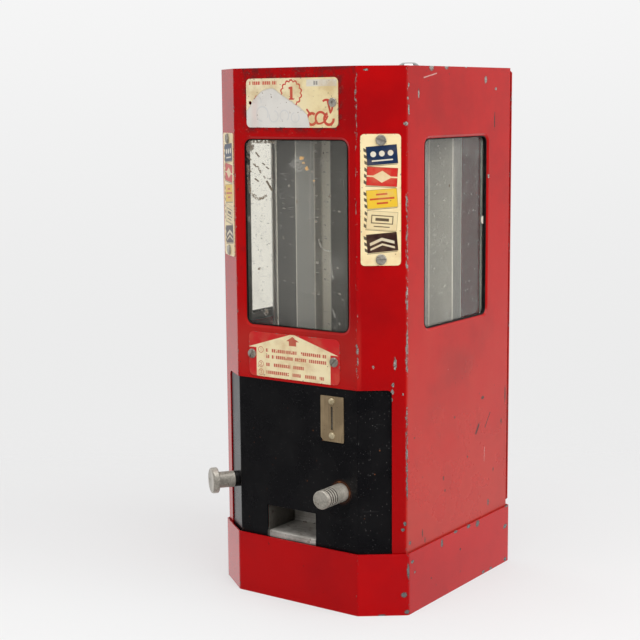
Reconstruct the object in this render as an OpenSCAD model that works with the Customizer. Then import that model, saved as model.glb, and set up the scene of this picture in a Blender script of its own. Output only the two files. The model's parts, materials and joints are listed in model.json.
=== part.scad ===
// Counter-top candy vending machine with a turning five-column magazine.
// Origin: centre of the base's underside. +Z is up, the front faces -Y.

/* [Cabinet] */
// Width of the cabinet body
cabinet_w = 190.5; // [188:0.5:194]
// Depth of the cabinet body with its rear door
cabinet_d = 203; // [201:0.5:206]
// Height of the whole cabinet
cabinet_h = 457; // [452:1:462]
// How far each front corner is cut back across the width
chamfer_x = 33; // [31:0.5:35]
// How far each front corner is cut back along the depth
chamfer_y = 25; // [24:0.5:26]
// Thickness of the cabinet sheet
sheet = 1; // [0.9:0.1:1.1]
// Outer radius of the cabinet's bends
bend_r = 2; // [1.8:0.1:3]

/* [Base] */
// Height of the base pan's wall
base_h = 53.5; // [50:0.5:55]
// How far the base stands outside the cabinet
base_out = 2; // [2:0.1:2.5]
// Thickness of the base sheet
base_sheet = 1.2; // [1:0.1:1.2]

/* [Windows] */
// Lower edge of the three windows
window_z0 = 240; // [236:1:244]
// Upper edge of the three windows
window_z1 = 398; // [390:1:400]
// Width of the front window
front_window_w = 105.6; // [100:0.2:106]
// Width of a side window
side_window_w = 105.6; // [98:0.2:105.6]
// Centre of the side windows along the depth
side_window_y = 4.8; // [2:0.2:5]
// Corner radius of a window
window_r = 6; // [5:0.5:7]
// Thickness of the window glass
glass_t = 2; // [1.8:0.1:2]

/* [Mechanism panel] */
// Top edge of the panel that shows below the front window
panel_top = 193; // [190:0.5:194]
// Width of the panel that shows on each corner face
panel_wrap = 28.7; // [27:0.1:30]
// Thickness of the panel sheet
panel_t = 1.2; // [1:0.1:1.3]

/* [Magazine] */
// Turn of the magazine from its first stop
magazine_turn = 4; // [0:1:20]
// Distance of a column's front flanges from the shaft
column_front = 77.6; // [76:0.1:77.6]
// Clear width of a column
column_w = 47; // [45:0.5:48]
// Depth of a column
column_depth = 24; // [22:0.5:25]
// Width of each front flange of a column
column_flange = 16.9; // [14:0.1:16.9]
// Lower end of the columns
column_z0 = 206; // [205.6:0.1:207]
// Upper end of the columns
column_z1 = 418; // [410:1:419]

/* [Controls] */
// Height of the selector shaft
selector_z = 98; // [96:0.5:98]
// Centre of the plunger across the width
plunger_x = 44.8; // [44.6:0.1:45]
// Height of the plunger
plunger_z = 104.2; // [104:0.1:105]
// Travel of the plunger
plunger_travel = 35; // [33:1:35]
// Diameter of the plunger's grip
plunger_d = 15.8; // [15:0.1:16]
// Length of the grip outside the panel
plunger_out = 30; // [28:1:32]

/* [Coin entry] */
// Centre of the coin slot across the width
coin_x = 36.5; // [36.3:0.1:36.7]
// Centre of the coin slot's height
coin_z = 166.8; // [166:0.1:167.5]
// Width of the coin slot
slot_w = 1.9; // [1.8:0.1:2]
// Length of the coin slot
slot_l = 19.6; // [19.4:0.1:20]

/* [Hidden] */

// Small amounts that only keep cuts clean and moving faces apart
eps = 0.01;
over = 1;
running = 0.05;
fit = 0.02;
gap = 0.3;
bend_steps = 5;
columns = 5;
pitch = 360 / columns;

half_w = cabinet_w / 2;
half_d = cabinet_d / 2;
chamfer_a = atan2(chamfer_y, chamfer_x);
// Distance of a corner face from the magazine's shaft
corner_reach = half_w * sin(chamfer_a) + (half_d - chamfer_y) * cos(chamfer_a);
window_h = window_z1 - window_z0;
window_z = (window_z0 + window_z1) / 2;
front_window_x = 0.7;
rim_w = 2.2;
rim_in = 1.5;

door_t = 1.2;
body_back = half_d - door_t - 0.2;
flange_w = 11;

deck_z = 200;
deck_t = 1.2;
deck_top = deck_z + deck_t;
drop_half = 27;
deck_front = -79;
deck_back = 90.5;
shaft_r = 5;
small_shaft_r = 4;
rod_r = 4;
top_t = 1;

// Sheet geometry: a path is the right-hand face of a sheet, seen along the path

function unit(v) = v / norm(v);
function left_of(v) = [-v[1], v[0]];
function turned(v, a) = [v[0] * cos(a) - v[1] * sin(a), v[0] * sin(a) + v[1] * cos(a)];
function turn_between(u, w) = atan2(u[0] * w[1] - u[1] * w[0], u[0] * w[0] + u[1] * w[1]);
function reversed(v) = [for (i = [len(v) - 1 : -1 : 0]) v[i]];

// Arc at corner b between a and c, of radius r, moved d to the left of the path
function bend(a, b, c, r, d) =
    let (u = unit(b - a), w = unit(c - b), angle = turn_between(u, w), s = sign(angle),
         centre = b - u * r * tan(abs(angle) / 2) + s * r * left_of(u))
    [for (k = [0 : bend_steps])
        centre - s * (r - s * d) * turned(left_of(u), angle * k / bend_steps)];

// Line at distance d to the left of an open path whose corners have radius r
function edge_line(path, r, d) =
    let (n = len(path))
    concat([path[0] + d * left_of(unit(path[1] - path[0]))],
           [for (i = [1 : n - 2]) each bend(path[i - 1], path[i], path[i + 1], r, d)],
           [path[n - 1] + d * left_of(unit(path[n - 1] - path[n - 2]))]);

// Cross-section of a sheet of thickness t folded along a path
function folded(path, t, r) =
    concat(edge_line(path, r, 0), reversed(edge_line(path, r, t)));

// Closed outline with every corner rounded
function rounded(points, r) =
    let (n = len(points))
    [for (i = [0 : n - 1])
        each bend(points[(i + n - 1) % n], points[i], points[(i + 1) % n], r, 0)];

function box_points(w, h) = [[-w / 2, -h / 2], [w / 2, -h / 2], [w / 2, h / 2], [-w / 2, h / 2]];
function span(x0, y0, x1, y1) = [[x0, y0], [x1, y0], [x1, y1], [x0, y1]];

// Corner of an open path moved d to its left
function moved_corner(a, b, c, d) =
    let (u = left_of(unit(b - a)), w = left_of(unit(c - b)))
    b + d * (u + w) / (1 + u * w);
function moved_path(path, d) =
    let (n = len(path))
    concat([path[0] + d * left_of(unit(path[1] - path[0]))],
           [for (i = [1 : n - 2]) moved_corner(path[i - 1], path[i], path[i + 1], d)],
           [path[n - 1] + d * left_of(unit(path[n - 1] - path[n - 2]))]);

// Cabinet outline from the rear left corner round the front to the rear right corner
function cabinet_path(back) = [[-half_w, back], [-half_w, chamfer_y - half_d],
                               [chamfer_x - half_w, -half_d], [half_w - chamfer_x, -half_d],
                               [half_w, chamfer_y - half_d], [half_w, back]];

// Point on the right corner face: s from the front bend, n outwards
function corner_point(s, n) = [half_w - chamfer_x + s * cos(chamfer_a) + n * sin(chamfer_a),
                               -half_d + s * sin(chamfer_a) - n * cos(chamfer_a)];

// Sheet outline drawn as x and z, standing between y0 and y0 + t
module upright(y0, t) {
    translate([0, y0 + t, 0]) rotate([90, 0, 0]) linear_extrude(t) children();
}

// Outline drawn as y and z, standing between x0 and x0 + t
module sideways(x0, t) {
    translate([x0, 0, 0]) rotate([90, 0, 90]) linear_extrude(t) children();
}

// Right corner face: local x along the face, local -y outwards
module on_right_corner() {
    translate([half_w - chamfer_x, -half_d, 0]) rotate([0, 0, chamfer_a]) children();
}

module on_left_corner() {
    mirror([1, 0, 0]) on_right_corner() children();
}

// Local z runs from the magazine's shaft out through the left corner face
module on_selector_axis() {
    translate([0, 0, selector_z]) rotate([0, 90, 270 - chamfer_a]) children();
}

// Local z points to the front
module facing_front(x, z, y = 0) {
    translate([x, y, z]) rotate([90, 0, 0]) children();
}

// Solid that tapers from one outline at y = 0 to a smaller one at depth t
module tapered(w, h, r, shrink, t) {
    rotate([-90, 0, 0])
        linear_extrude(t, scale = [(w - 2 * shrink) / w, (h - 2 * shrink) / h])
            polygon(rounded(box_points(w, h), r));
}

// Window opening, drawn at the face plane y = 0 and cut inwards
module window_cut(w) {
    translate([0, -over, 0]) rotate([-90, 0, 0]) linear_extrude(sheet + 2 * over)
        polygon(rounded(box_points(w + 2 * rim_w, window_h + 2 * rim_w), window_r + rim_w));
}

// Rim pressed inwards round a window
module window_rim(w) {
    outer_w = w + 2 * rim_w;
    outer_h = window_h + 2 * rim_w;
    difference() {
        union() {
            tapered(outer_w, outer_h, window_r + rim_w, rim_w - 0.9, rim_in + sheet);
            rotate([-90, 0, 0]) linear_extrude(sheet)
                polygon(rounded(box_points(outer_w, outer_h), window_r + rim_w));
        }
        translate([0, -eps, 0]) tapered(outer_w, outer_h, window_r + rim_w, rim_w, rim_in);
        rotate([-90, 0, 0]) linear_extrude(sheet + rim_in + over)
            polygon(rounded(box_points(w, window_h), window_r));
    }
}

module at_front_window() {
    translate([front_window_x, -half_d, window_z]) children();
}

module at_right_window() {
    translate([half_w, side_window_y, window_z]) rotate([0, 0, 90]) children();
}

module at_left_window() {
    translate([-half_w, side_window_y, window_z]) rotate([0, 0, -90]) children();
}

module at_windows() {
    at_front_window() children(0);
    at_right_window() children(1);
    at_left_window() children(1);
}

// Plates and their screws

screw_r = 1.5;
screw_l = 3.2;
name_head_r = 3.8;
instruction_head_r = 4.1;
product_head_r = 4.4;
plate_t = 0.6;
name_plate_box = [-48, 407.8, 45.3, 448.3];
instruction_box = [-49.3, 195.5, 45.3, 234];
product_box = [3.4, 296.6, 36.2, 402.8];
name_screws = [[-44.1, 428.3], [40.4, 428.2]];
instruction_screws = [[-45.9, 214.5], [39.9, 214.9]];
product_screws = [[20.1, 397.9], [20.1, 301.6]];

module plate_blank(box, screws, r) {
    difference() {
        upright(-plate_t, plate_t) polygon(rounded(span(box[0], box[1], box[2], box[3]), r));
        for (s = screws) facing_front(s[0], s[1], over) cylinder(h = 4, r = screw_r + 0.1, $fn = 24);
    }
}

// Flat-headed screw, head outwards
module screw(r, head_t) {
    rotate_extrude($fn = 48)
        polygon([[0, 0], [r, 0], [r, head_t / 2], [r * 0.94, head_t * 0.8], [r * 0.86, head_t], [0, head_t]]);
    translate([0, 0, -screw_l]) cylinder(h = screw_l + eps, r = screw_r, $fn = 24);
}

module slotted_screw(r, turn) {
    head_t = 1.6;
    slot_d = 0.8;
    difference() {
        screw(r, head_t);
        rotate([0, 0, turn]) translate([0, 0, head_t]) cube([2 * r + 1, 1, 2 * slot_d], center = true);
    }
}

// Screw with a small round recess
module recessed_screw(r) {
    head_t = 1.5;
    difference() {
        screw(r, head_t);
        translate([0, 0, head_t - 1]) cylinder(h = 2, r = 1.1, $fn = 24);
    }
}

module screw_holes() {
    for (s = concat(name_screws, instruction_screws))
        facing_front(s[0], s[1], -half_d + 3) cylinder(h = 6, r = screw_r + 0.1, $fn = 24);
    for (s = product_screws) {
        on_right_corner() facing_front(s[0], s[1], 3) cylinder(h = 6, r = screw_r + 0.1, $fn = 24);
        on_left_corner() facing_front(s[0], s[1], 3) cylinder(h = 6, r = screw_r + 0.1, $fn = 24);
    }
}

// Cabinet

base_path = [[-half_w, half_d], [-half_w, chamfer_y - half_d], [chamfer_x - half_w, -half_d],
             [half_w - chamfer_x, -half_d], [half_w, chamfer_y - half_d], [half_w, half_d]];

module base_pan() {
    color("firebrick") difference() {
        linear_extrude(base_h) polygon(base_ring(base_out));
        translate([0, 0, base_sheet]) linear_extrude(base_h)
            polygon(base_ring(base_out - base_sheet));
    }
}

function base_ring(out) =
    let (p = moved_path(base_path, -out), r = bend_r + out)
    rounded([[p[0][0], half_d + out], p[1], p[2], p[3], p[4], [p[5][0], half_d + out]], r);

// Plan of the notch that shows the panel, s wide on each corner face
function notch_plan(s) =
    let (inner = corner_point(s, -6), outer = corner_point(s, 8), front = -half_d - 10)
    [inner, [-inner[0], inner[1]], [-outer[0], outer[1]], [-outer[0], front], [outer[0], front], outer];

notch_z0 = 40;
notch_r = 4;

module panel_notch() {
    translate([0, 0, notch_z0]) linear_extrude(panel_top - notch_r - notch_z0)
        polygon(notch_plan(panel_wrap));
    translate([0, 0, notch_z0]) linear_extrude(panel_top - notch_z0)
        polygon(notch_plan(panel_wrap - notch_r));
    on_right_corner() facing_front(panel_wrap - notch_r, panel_top - notch_r, 6)
        cylinder(h = 14, r = notch_r, $fn = 48);
    on_left_corner() facing_front(panel_wrap - notch_r, panel_top - notch_r, 6)
        cylinder(h = 14, r = notch_r, $fn = 48);
}

module cabinet_shell() {
    wall = concat([[flange_w - half_w, body_back]], cabinet_path(body_back),
                  [[half_w - flange_w, body_back]]);
    color("firebrick") union() {
        difference() {
            translate([0, 0, base_sheet]) linear_extrude(cabinet_h - base_sheet)
                polygon(folded(wall, sheet, bend_r));
            at_windows() {
                window_cut(front_window_w);
                window_cut(side_window_w);
            }
            panel_notch();
            screw_holes();
        }
        at_windows() {
            window_rim(front_window_w);
            window_rim(side_window_w);
        }
    }
}

// Top plate let into the shell, with a turned-down edge
top_flange = 12;
lock_y = 80;
lock_body_r = 7;

// Plan of the cover, d inside the shell; its rear edge comes out between the shell's flanges
function cover_plan(d) =
    let (p = moved_path(cabinet_path(body_back - sheet - d), sheet + d), tongue = half_w - flange_w - d,
         back = body_back - d + running)
    concat(p, [[tongue, p[5][1]], [tongue, back], [-tongue, back], [-tongue, p[0][1]]]);

module top_cover() {
    color("firebrick") difference() {
        translate([0, 0, cabinet_h - top_flange]) linear_extrude(top_flange)
            polygon(cover_plan(running));
        translate([0, 0, cabinet_h - top_flange - over]) linear_extrude(top_flange - top_t + over)
            polygon(cover_plan(running + top_t));
        translate([0, lock_y, cabinet_h - 20]) cylinder(h = 30, r = lock_body_r + running, $fn = 48);
    }
}

// Folded front panel of the mechanism
panel_inset = sheet + running;
panel_z0 = 30;
panel_z1 = 199;
panel_face = -half_d + panel_inset;
delivery = [-33.2, 18.5, 81.5];
knob_hole_r = 7;
plunger_hole_r = 9.6;
coin_screws = [[coin_x + 0.1, coin_z + 14.6], [coin_x + 0.2, coin_z - 14.8]];

module mechanism_panel() {
    end = corner_point(panel_wrap + 6, 0);
    path = moved_path([[-end[0], end[1]], [chamfer_x - half_w, -half_d],
                       [half_w - chamfer_x, -half_d], end], panel_inset);
    color([0.1, 0.1, 0.11]) difference() {
        translate([0, 0, panel_z0]) linear_extrude(panel_z1 - panel_z0)
            polygon(folded(path, panel_t, bend_r));
        upright(-half_d - over, 6) polygon(span(delivery[0], base_h - 1.5, delivery[1], delivery[2]));
        upright(-half_d - over, 6)
            polygon(span(coin_x - 2, coin_z - 11, coin_x + 2, coin_z + 11));
        for (s = coin_screws) facing_front(s[0], s[1], -half_d + 4) cylinder(h = 8, r = 1.35, $fn = 24);
        facing_front(plunger_x, plunger_z, -half_d + 4) cylinder(h = 8, r = plunger_hole_r, $fn = 48);
        on_selector_axis() translate([0, 0, corner_reach - 4]) cylinder(h = 8, r = knob_hole_r, $fn = 48);
    }
}

// Windows: local y = 0 is the cabinet's face, +y runs inwards

pane_h = window_h + 8;
front_pane_w = front_window_w + 6;
side_pane_w = side_window_w + 6;
front_pane_y = sheet + rim_in + 0.05;
side_pane_y = 4.05;
// How far a frame's inner lip stands in front of the pane's edge
front_lip = 2;
side_lip = 5.3;

module pane(w, y) {
    upright(y, glass_t) polygon(rounded(box_points(w, pane_h), 1));
}

// Channel round the sides and foot of a pane, open at the top so the pane drops in
module pane_channel(w, y, lip) {
    web = 0.8;
    clear = 0.25;
    back = y + glass_t + clear;
    outer = w / 2 + clear + web;
    foot = -pane_h / 2 - clear - web;
    top = pane_h / 2;
    difference() {
        union() {
            upright(sheet + fit, back + web - sheet - fit) polygon(span(-outer, foot, outer, top));
            upright(sheet + fit, web) polygon(span(-outer - 3.5, foot - 3.5, outer + 3.5, top));
        }
        upright(sheet - over, back - sheet + over)
            polygon(span(-outer + web, foot + web, outer - web, top + over));
        upright(back - over, 4)
            polygon(span(-w / 2 + lip, -window_h / 2 - 0.5, w / 2 - lip, top + over));
    }
}

glass_tint = [0.75, 0.85, 0.82, 0.35];

module front_glass() {
    color(glass_tint) at_front_window() pane(front_pane_w, front_pane_y);
}

module right_glass() {
    color(glass_tint) at_right_window() pane(side_pane_w, side_pane_y);
}

module left_glass() {
    color(glass_tint) at_left_window() pane(side_pane_w, side_pane_y);
}

module front_glass_frame() {
    color("dimgray") at_front_window() pane_channel(front_pane_w, front_pane_y, front_lip);
}

module side_glass_frames() {
    color("dimgray") {
        at_right_window() pane_channel(side_pane_w, side_pane_y, side_lip);
        at_left_window() pane_channel(side_pane_w, side_pane_y, side_lip);
    }
}

// Black seals: a lip lines the cut edge of each opening, and at the sides a bead lies behind it
lip_t = 0.8;
lip_out = 0.5;

module seal_ring(w, outer, inner, y0, y1) {
    upright(y0, y1 - y0) difference() {
        polygon(rounded(box_points(w + outer, window_h + outer), window_r));
        polygon(rounded(box_points(w + inner, window_h + inner), window_r - lip_t));
    }
}

module side_gasket() {
    behind = sheet + rim_in + fit;
    seal_ring(side_window_w, 5, -2 * lip_t, behind, side_pane_y - fit);
    seal_ring(side_window_w, -2 * fit, -2 * lip_t, rim_in - lip_out, behind + eps);
}

module window_gaskets() {
    color([0.06, 0.06, 0.06]) {
        at_front_window()
            seal_ring(front_window_w, -2 * fit, -2 * lip_t, rim_in - lip_out, front_pane_y - fit);
        at_right_window() side_gasket();
        at_left_window() side_gasket();
    }
}

module name_plate() {
    color("antiquewhite") translate([0, -half_d, 0]) plate_blank(name_plate_box, name_screws, 4);
}

module instruction_plate() {
    color("crimson") translate([0, -half_d, 0]) plate_blank(instruction_box, instruction_screws, 5);
}

module right_product_plate() {
    color("wheat") on_right_corner() plate_blank(product_box, product_screws, 3);
}

module left_product_plate() {
    color("wheat") on_left_corner() plate_blank(product_box, product_screws, 3);
}

// The left screw of the name plate is missing
module plate_screws() {
    color("silver") {
        facing_front(name_screws[1][0], name_screws[1][1], -half_d - plate_t) recessed_screw(name_head_r);
        for (i = [0, 1]) facing_front(instruction_screws[i][0], instruction_screws[i][1], -half_d - plate_t)
            slotted_screw(instruction_head_r, 63 - 14 * i);
        for (i = [0, 1]) {
            on_right_corner() facing_front(product_screws[i][0], product_screws[i][1], -plate_t)
                slotted_screw(product_head_r, 25 * i - 22);
            on_left_corner() facing_front(product_screws[i][0], product_screws[i][1], -plate_t)
                slotted_screw(product_head_r, 60);
        }
    }
}

// Deck that the packs slide on, with the drop gap at its front

slot_half = 5;
stem_half = 4;
blade_y = -47;
blade_l = 24;
stem_y = -30;
stem_l = 6;

module deck_plate() {
    outline = moved_path(cabinet_path(deck_back), sheet + running);
    flange_h = 10;
    color("gray") difference() {
        union() {
            translate([0, 0, deck_z]) linear_extrude(deck_t) polygon(outline);
            for (s = [-1, 1])
                translate([s * (half_w - sheet - running - deck_t / 2), 10, deck_z - flange_h / 2 + eps])
                    cube([deck_t, 150, flange_h], center = true);
        }
        translate([0, 0, deck_z - over])
            linear_extrude(4) polygon(span(-drop_half, -half_d, drop_half, deck_front));
        translate([0, 0, deck_z - over]) linear_extrude(4)
            polygon(span(-slot_half, stem_y - plunger_travel - 1.5, slot_half, stem_y + stem_l + 1.5));
        translate([0, 0, deck_z - over]) cylinder(h = 4, r = 7 + running, $fn = 48);
    }
}

module deck_bearing() {
    color("goldenrod") difference() {
        union() {
            translate([0, 0, deck_z - 8]) cylinder(h = 10, r = 7, $fn = 48);
            translate([0, 0, deck_top]) cylinder(h = 2, r = 13, $fn = 48);
        }
        translate([0, 0, deck_z - 10]) cylinder(h = 20, r = shaft_r + running, $fn = 48);
    }
}

// U-shaped bracket hung from the deck that carries the foot of the shaft
bracket_z0 = 78;
bracket_t = 1.5;
bracket_x = 34;

module gear_bracket() {
    w = 28;
    path = [[-bracket_x - 12, deck_z - bracket_t], [-bracket_x, deck_z - bracket_t], [-bracket_x, bracket_z0],
            [bracket_x, bracket_z0], [bracket_x, deck_z - bracket_t], [bracket_x + 12, deck_z - bracket_t]];
    color("slategray") difference() {
        upright(-w / 2, w) polygon(folded(path, bracket_t, 3));
        translate([0, 0, bracket_z0 - over]) cylinder(h = 5, r = 7 + running, $fn = 48);
    }
}

module foot_bearing() {
    color("goldenrod") difference() {
        union() {
            translate([0, 0, bracket_z0 - 3]) cylinder(h = 3 + bracket_t, r = 7, $fn = 48);
            translate([0, 0, bracket_z0 + bracket_t]) cylinder(h = 2, r = 11, $fn = 48);
        }
        translate([0, 0, bracket_z0 - 1]) cylinder(h = 10, r = shaft_r + running, $fn = 48);
    }
}

bar_z = 436;

module top_bearing_bar() {
    w = 26;
    reach = half_w - sheet;
    color("slategray") difference() {
        union() {
            sideways(-reach, 2 * reach)
                polygon(folded([[-w / 2, bar_z - 9], [-w / 2, bar_z], [w / 2, bar_z], [w / 2, bar_z - 9]],
                               -bracket_t, 3));
            for (s = [-1, 1])
                translate([s * (reach - bracket_t / 2), 0, bar_z - 8])
                    cube([bracket_t, w, 16], center = true);
        }
        translate([0, 0, bar_z - 4]) cylinder(h = 8, r = 7 + running, $fn = 48);
    }
}

module top_bearing() {
    color("goldenrod") difference() {
        union() {
            translate([0, 0, bar_z - 6]) cylinder(h = 6, r = 7, $fn = 48);
            translate([0, 0, bar_z]) cylinder(h = 2, r = 11, $fn = 48);
        }
        translate([0, 0, bar_z - 8]) cylinder(h = 16, r = shaft_r + running, $fn = 48);
    }
}

// Magazine that turns on the central shaft

shaft_z0 = bracket_z0 - 1 + running;
shaft_z1 = 442;
pan_z0 = 214;
pan_z1 = 406;
pan_t = 1.2;
pan_flange = 10;
column_t = 0.9;
column_back = column_front - column_depth;
tip_half = column_w / 2 + column_flange;

module magazine_shaft() {
    color("lightgray") translate([0, 0, shaft_z0]) cylinder(h = shaft_z1 - shaft_z0, r = shaft_r, $fn = 48);
}

module hub(z0, flange_z, h) {
    difference() {
        union() {
            translate([0, 0, z0]) cylinder(h = h, r = 11, $fn = 48);
            translate([0, 0, flange_z]) cylinder(h = 2, r = 18, $fn = 48);
        }
        translate([0, 0, z0 - over]) cylinder(h = h + 2 * over, r = shaft_r + fit, $fn = 48);
    }
}

module lower_hub() {
    hub_z0 = deck_top + 2 + running;
    color("darkgray") hub(hub_z0, pan_z0 - 2, pan_z0 - hub_z0);
}

module upper_hub() {
    color("darkgray") hub(pan_z1 + pan_t, pan_z1 + pan_t, 14);
}

// Five-sided pan whose turned-up edges carry the columns
module magazine_pan(z) {
    reach = column_back - column_t;
    edge = reach * tan(pitch / 2);
    difference() {
        rotate([0, 0, magazine_turn]) union() {
            translate([0, 0, z]) linear_extrude(pan_t)
                polygon([for (k = [0 : columns - 1]) turned([reach, edge], k * pitch)]);
            for (k = [0 : columns - 1]) rotate([0, 0, k * pitch])
                translate([reach - pan_t / 2 - eps, 0, z + pan_flange / 2])
                    cube([pan_t, 2 * edge - 8, pan_flange], center = true);
        }
        translate([0, 0, z - over]) cylinder(h = 4, r = shaft_r + fit, $fn = 48);
        for (k = [0 : columns - 1], s = [-1, 1])
            rivet_place(k, s, z) cylinder(h = 8, r = 1.5, center = true, $fn = 24);
    }
}

rivet_y = 14;

module rivet_place(k, s, z) {
    rotate([0, 0, magazine_turn + k * pitch])
        translate([column_back - column_t, s * rivet_y, z + 6]) rotate([0, 90, 0]) children();
}

module lower_pan() {
    color("slategray") magazine_pan(pan_z0);
}

module upper_pan() {
    color("slategray") magazine_pan(pan_z1);
}

// Folded channel that holds one stack of packs, open to the outside
module column(k) {
    c = column_w / 2;
    path = [[column_front, -tip_half], [column_front, -c], [column_back, -c],
            [column_back, c], [column_front, c], [column_front, tip_half]];
    color([0.62, 0.64, 0.6]) difference() {
        rotate([0, 0, magazine_turn + k * pitch]) translate([0, 0, column_z0])
            linear_extrude(column_z1 - column_z0) polygon(folded(path, column_t, 1.6));
        for (s = [-1, 1], z = [pan_z0, pan_z1])
            rivet_place(k, s, z) cylinder(h = 6, r = 1.5, center = true, $fn = 24);
    }
}

module column_rivets() {
    inner = -pan_t - 2 * eps;
    head = 0.8;
    color("silver") for (k = [0 : columns - 1], s = [-1, 1], z = [pan_z0, pan_z1])
        rivet_place(k, s, z) {
            translate([0, 0, inner - eps]) cylinder(h = column_t - inner + 2 * eps, r = 1.48, $fn = 24);
            translate([0, 0, column_t]) cylinder(h = head, r = 2.6, $fn = 24);
            translate([0, 0, inner - head]) cylinder(h = head, r = 2.6, $fn = 24);
        }
}

// Bevel gears: both cones meet where the two shafts cross

gear_teeth = 32;
pinion_teeth = 16;
module_mm = 1.25;
backlash = 0.35;
addendum = module_mm;
dedendum = 1.25 * module_mm;
pressure_a = 20;
tooth_face = 7.2;
cone = module_mm * norm([gear_teeth, pinion_teeth]) / 2;
gear_cone_a = atan2(gear_teeth, pinion_teeth);
pinion_cone_a = 90 - gear_cone_a;

// Half thickness of a tooth, h above the pitch line
function tooth_half(h) = (PI * module_mm / 2 - backlash) / 2 - h * tan(pressure_a);

// Point on a cone's large end, h above its pitch line: distance from the axis and height
function cone_point(cone_a, h) =
    [cone * sin(cone_a) + h * cos(cone_a), cone * cos(cone_a) - h * sin(cone_a)];

// Corners of all the teeth at their large end, or at size times that towards the apex
function tooth_ring(teeth, cone_a, size) =
    let (levels = [-dedendum, -dedendum / 2, 0, addendum])
    [for (i = [0 : teeth - 1], k = [0 : 7])
        let (h = levels[k < 4 ? k : 7 - k], p = cone_point(cone_a, h),
             half = tooth_half(h) / p[0] * 180 / PI, a = i * 360 / teeth + (k < 4 ? -half : half))
        size * [p[0] * cos(a), p[0] * sin(a), p[1]]];

// Toothed cone with its apex at the origin, cut square to its pitch line at both ends
module bevel_teeth(teeth, cone_a) {
    n = 8 * teeth;
    sides = [for (i = [0 : n - 1]) [i, (i + 1) % n, n + (i + 1) % n, n + i]];
    ends = [for (i = [0 : 8 : n - 1], k = [0 : 2]) [i + k, i + k + 1, i + 6 - k, i + 7 - k]];
    cap = [for (i = [0 : 8 : n - 1], k = [0, 7]) i + k];
    polyhedron(
        concat(tooth_ring(teeth, cone_a, 1), tooth_ring(teeth, cone_a, 1 - tooth_face / cone)),
        concat(sides, [for (e = ends) reversed(e)], [for (e = ends) [for (i = e) n + i]],
               [reversed(cap), [for (i = cap) n + i]]));
}

// Gear on the shaft with its teeth facing down; a gap faces the pinion
module bevel_gear() {
    root = cone_point(gear_cone_a, -dedendum);
    color("peru") difference() {
        translate([0, 0, selector_z]) union() {
            rotate([0, 0, 270 - chamfer_a + 180 / gear_teeth]) bevel_teeth(gear_teeth, gear_cone_a);
            translate([0, 0, root[1] - eps]) cylinder(h = 2, r = root[0] - 0.5, $fn = 64);
            translate([0, 0, root[1]]) cylinder(h = 12, r = 10, $fn = 48);
        }
        translate([0, 0, selector_z]) cylinder(h = 40, r = shaft_r + fit, $fn = 48);
    }
}

module bevel_pinion() {
    root = cone_point(pinion_cone_a, -dedendum);
    color("peru") on_selector_axis() difference() {
        union() {
            bevel_teeth(pinion_teeth, pinion_cone_a);
            translate([0, 0, root[1] - eps]) cylinder(h = 10, r = 7.5, $fn = 48);
        }
        cylinder(h = 40, r = small_shaft_r + fit, $fn = 48);
    }
}

// Selector knob, its shaft and bearings

panel_back = corner_reach - panel_inset - panel_t;
collar_z1 = corner_reach + 2.5;

module selector_shaft() {
    color("lightgray") on_selector_axis()
        translate([0, 0, 12]) cylinder(h = corner_reach, r = small_shaft_r, $fn = 48);
}

module selector_knob() {
    hub_r = 7.2;
    disc_r = 11.45;
    hub_z0 = collar_z1 + 0.2;
    hub_z1 = hub_z0 + 15;
    disc_t = 6;
    color("silver") on_selector_axis() difference() {
        rotate_extrude($fn = 64) polygon(concat(
            [[0, hub_z0], [hub_r - 0.4, hub_z0], [hub_r, hub_z0 + 0.4]],
            [[hub_r, hub_z1]],
            [for (a = [0 : 15 : 90]) [disc_r - 1 + sin(a), hub_z1 + 1 - cos(a)]],
            [for (a = [0 : 15 : 90]) [disc_r - 1.6 + 1.6 * cos(a), hub_z1 + disc_t - 1.6 + 1.6 * sin(a)]],
            [[0, hub_z1 + disc_t]]));
        translate([0, 0, hub_z0 - over])
            cylinder(h = corner_reach + 12.1 - hub_z0 + over, r = small_shaft_r + fit, $fn = 48);
    }
}

module selector_bushing() {
    color([0.12, 0.12, 0.12]) on_selector_axis() difference() {
        union() {
            translate([0, 0, panel_back - 3]) cylinder(h = 3 - running, r = 10, $fn = 48);
            translate([0, 0, panel_back - 12]) cylinder(h = 10, r = 7.5, $fn = 48);
            // Black collar that shows between the panel and the knob
            translate([0, 0, panel_back - 3])
                cylinder(h = collar_z1 - panel_back + 3, r = knob_hole_r - running, $fn = 48);
        }
        translate([0, 0, panel_back - 20]) cylinder(h = 40, r = small_shaft_r + running, $fn = 48);
    }
}

// Bracket hung from the deck, square to the selector shaft
selector_bracket_at = 40;

module selector_bracket() {
    color("slategray") difference() {
        translate([0, 0, selector_z]) rotate([0, 0, 270 - chamfer_a])
            translate([selector_bracket_at, -11, 0])
                rotate([90, 0, 0]) mirror([0, 0, 1]) linear_extrude(22)
                    polygon(folded([[0, -13], [0, deck_z - selector_z], [14, deck_z - selector_z]],
                                   -bracket_t, 3));
        on_selector_axis() translate([0, 0, selector_bracket_at - 6])
            cylinder(h = 12, r = small_shaft_r + running, $fn = 48);
    }
}

// Plunger on the right, its bearings, carrier and spring

rod_back = 52;
guide_y = -23;
guide_bush = [-24, -19];
collar = [46, 50];

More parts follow.
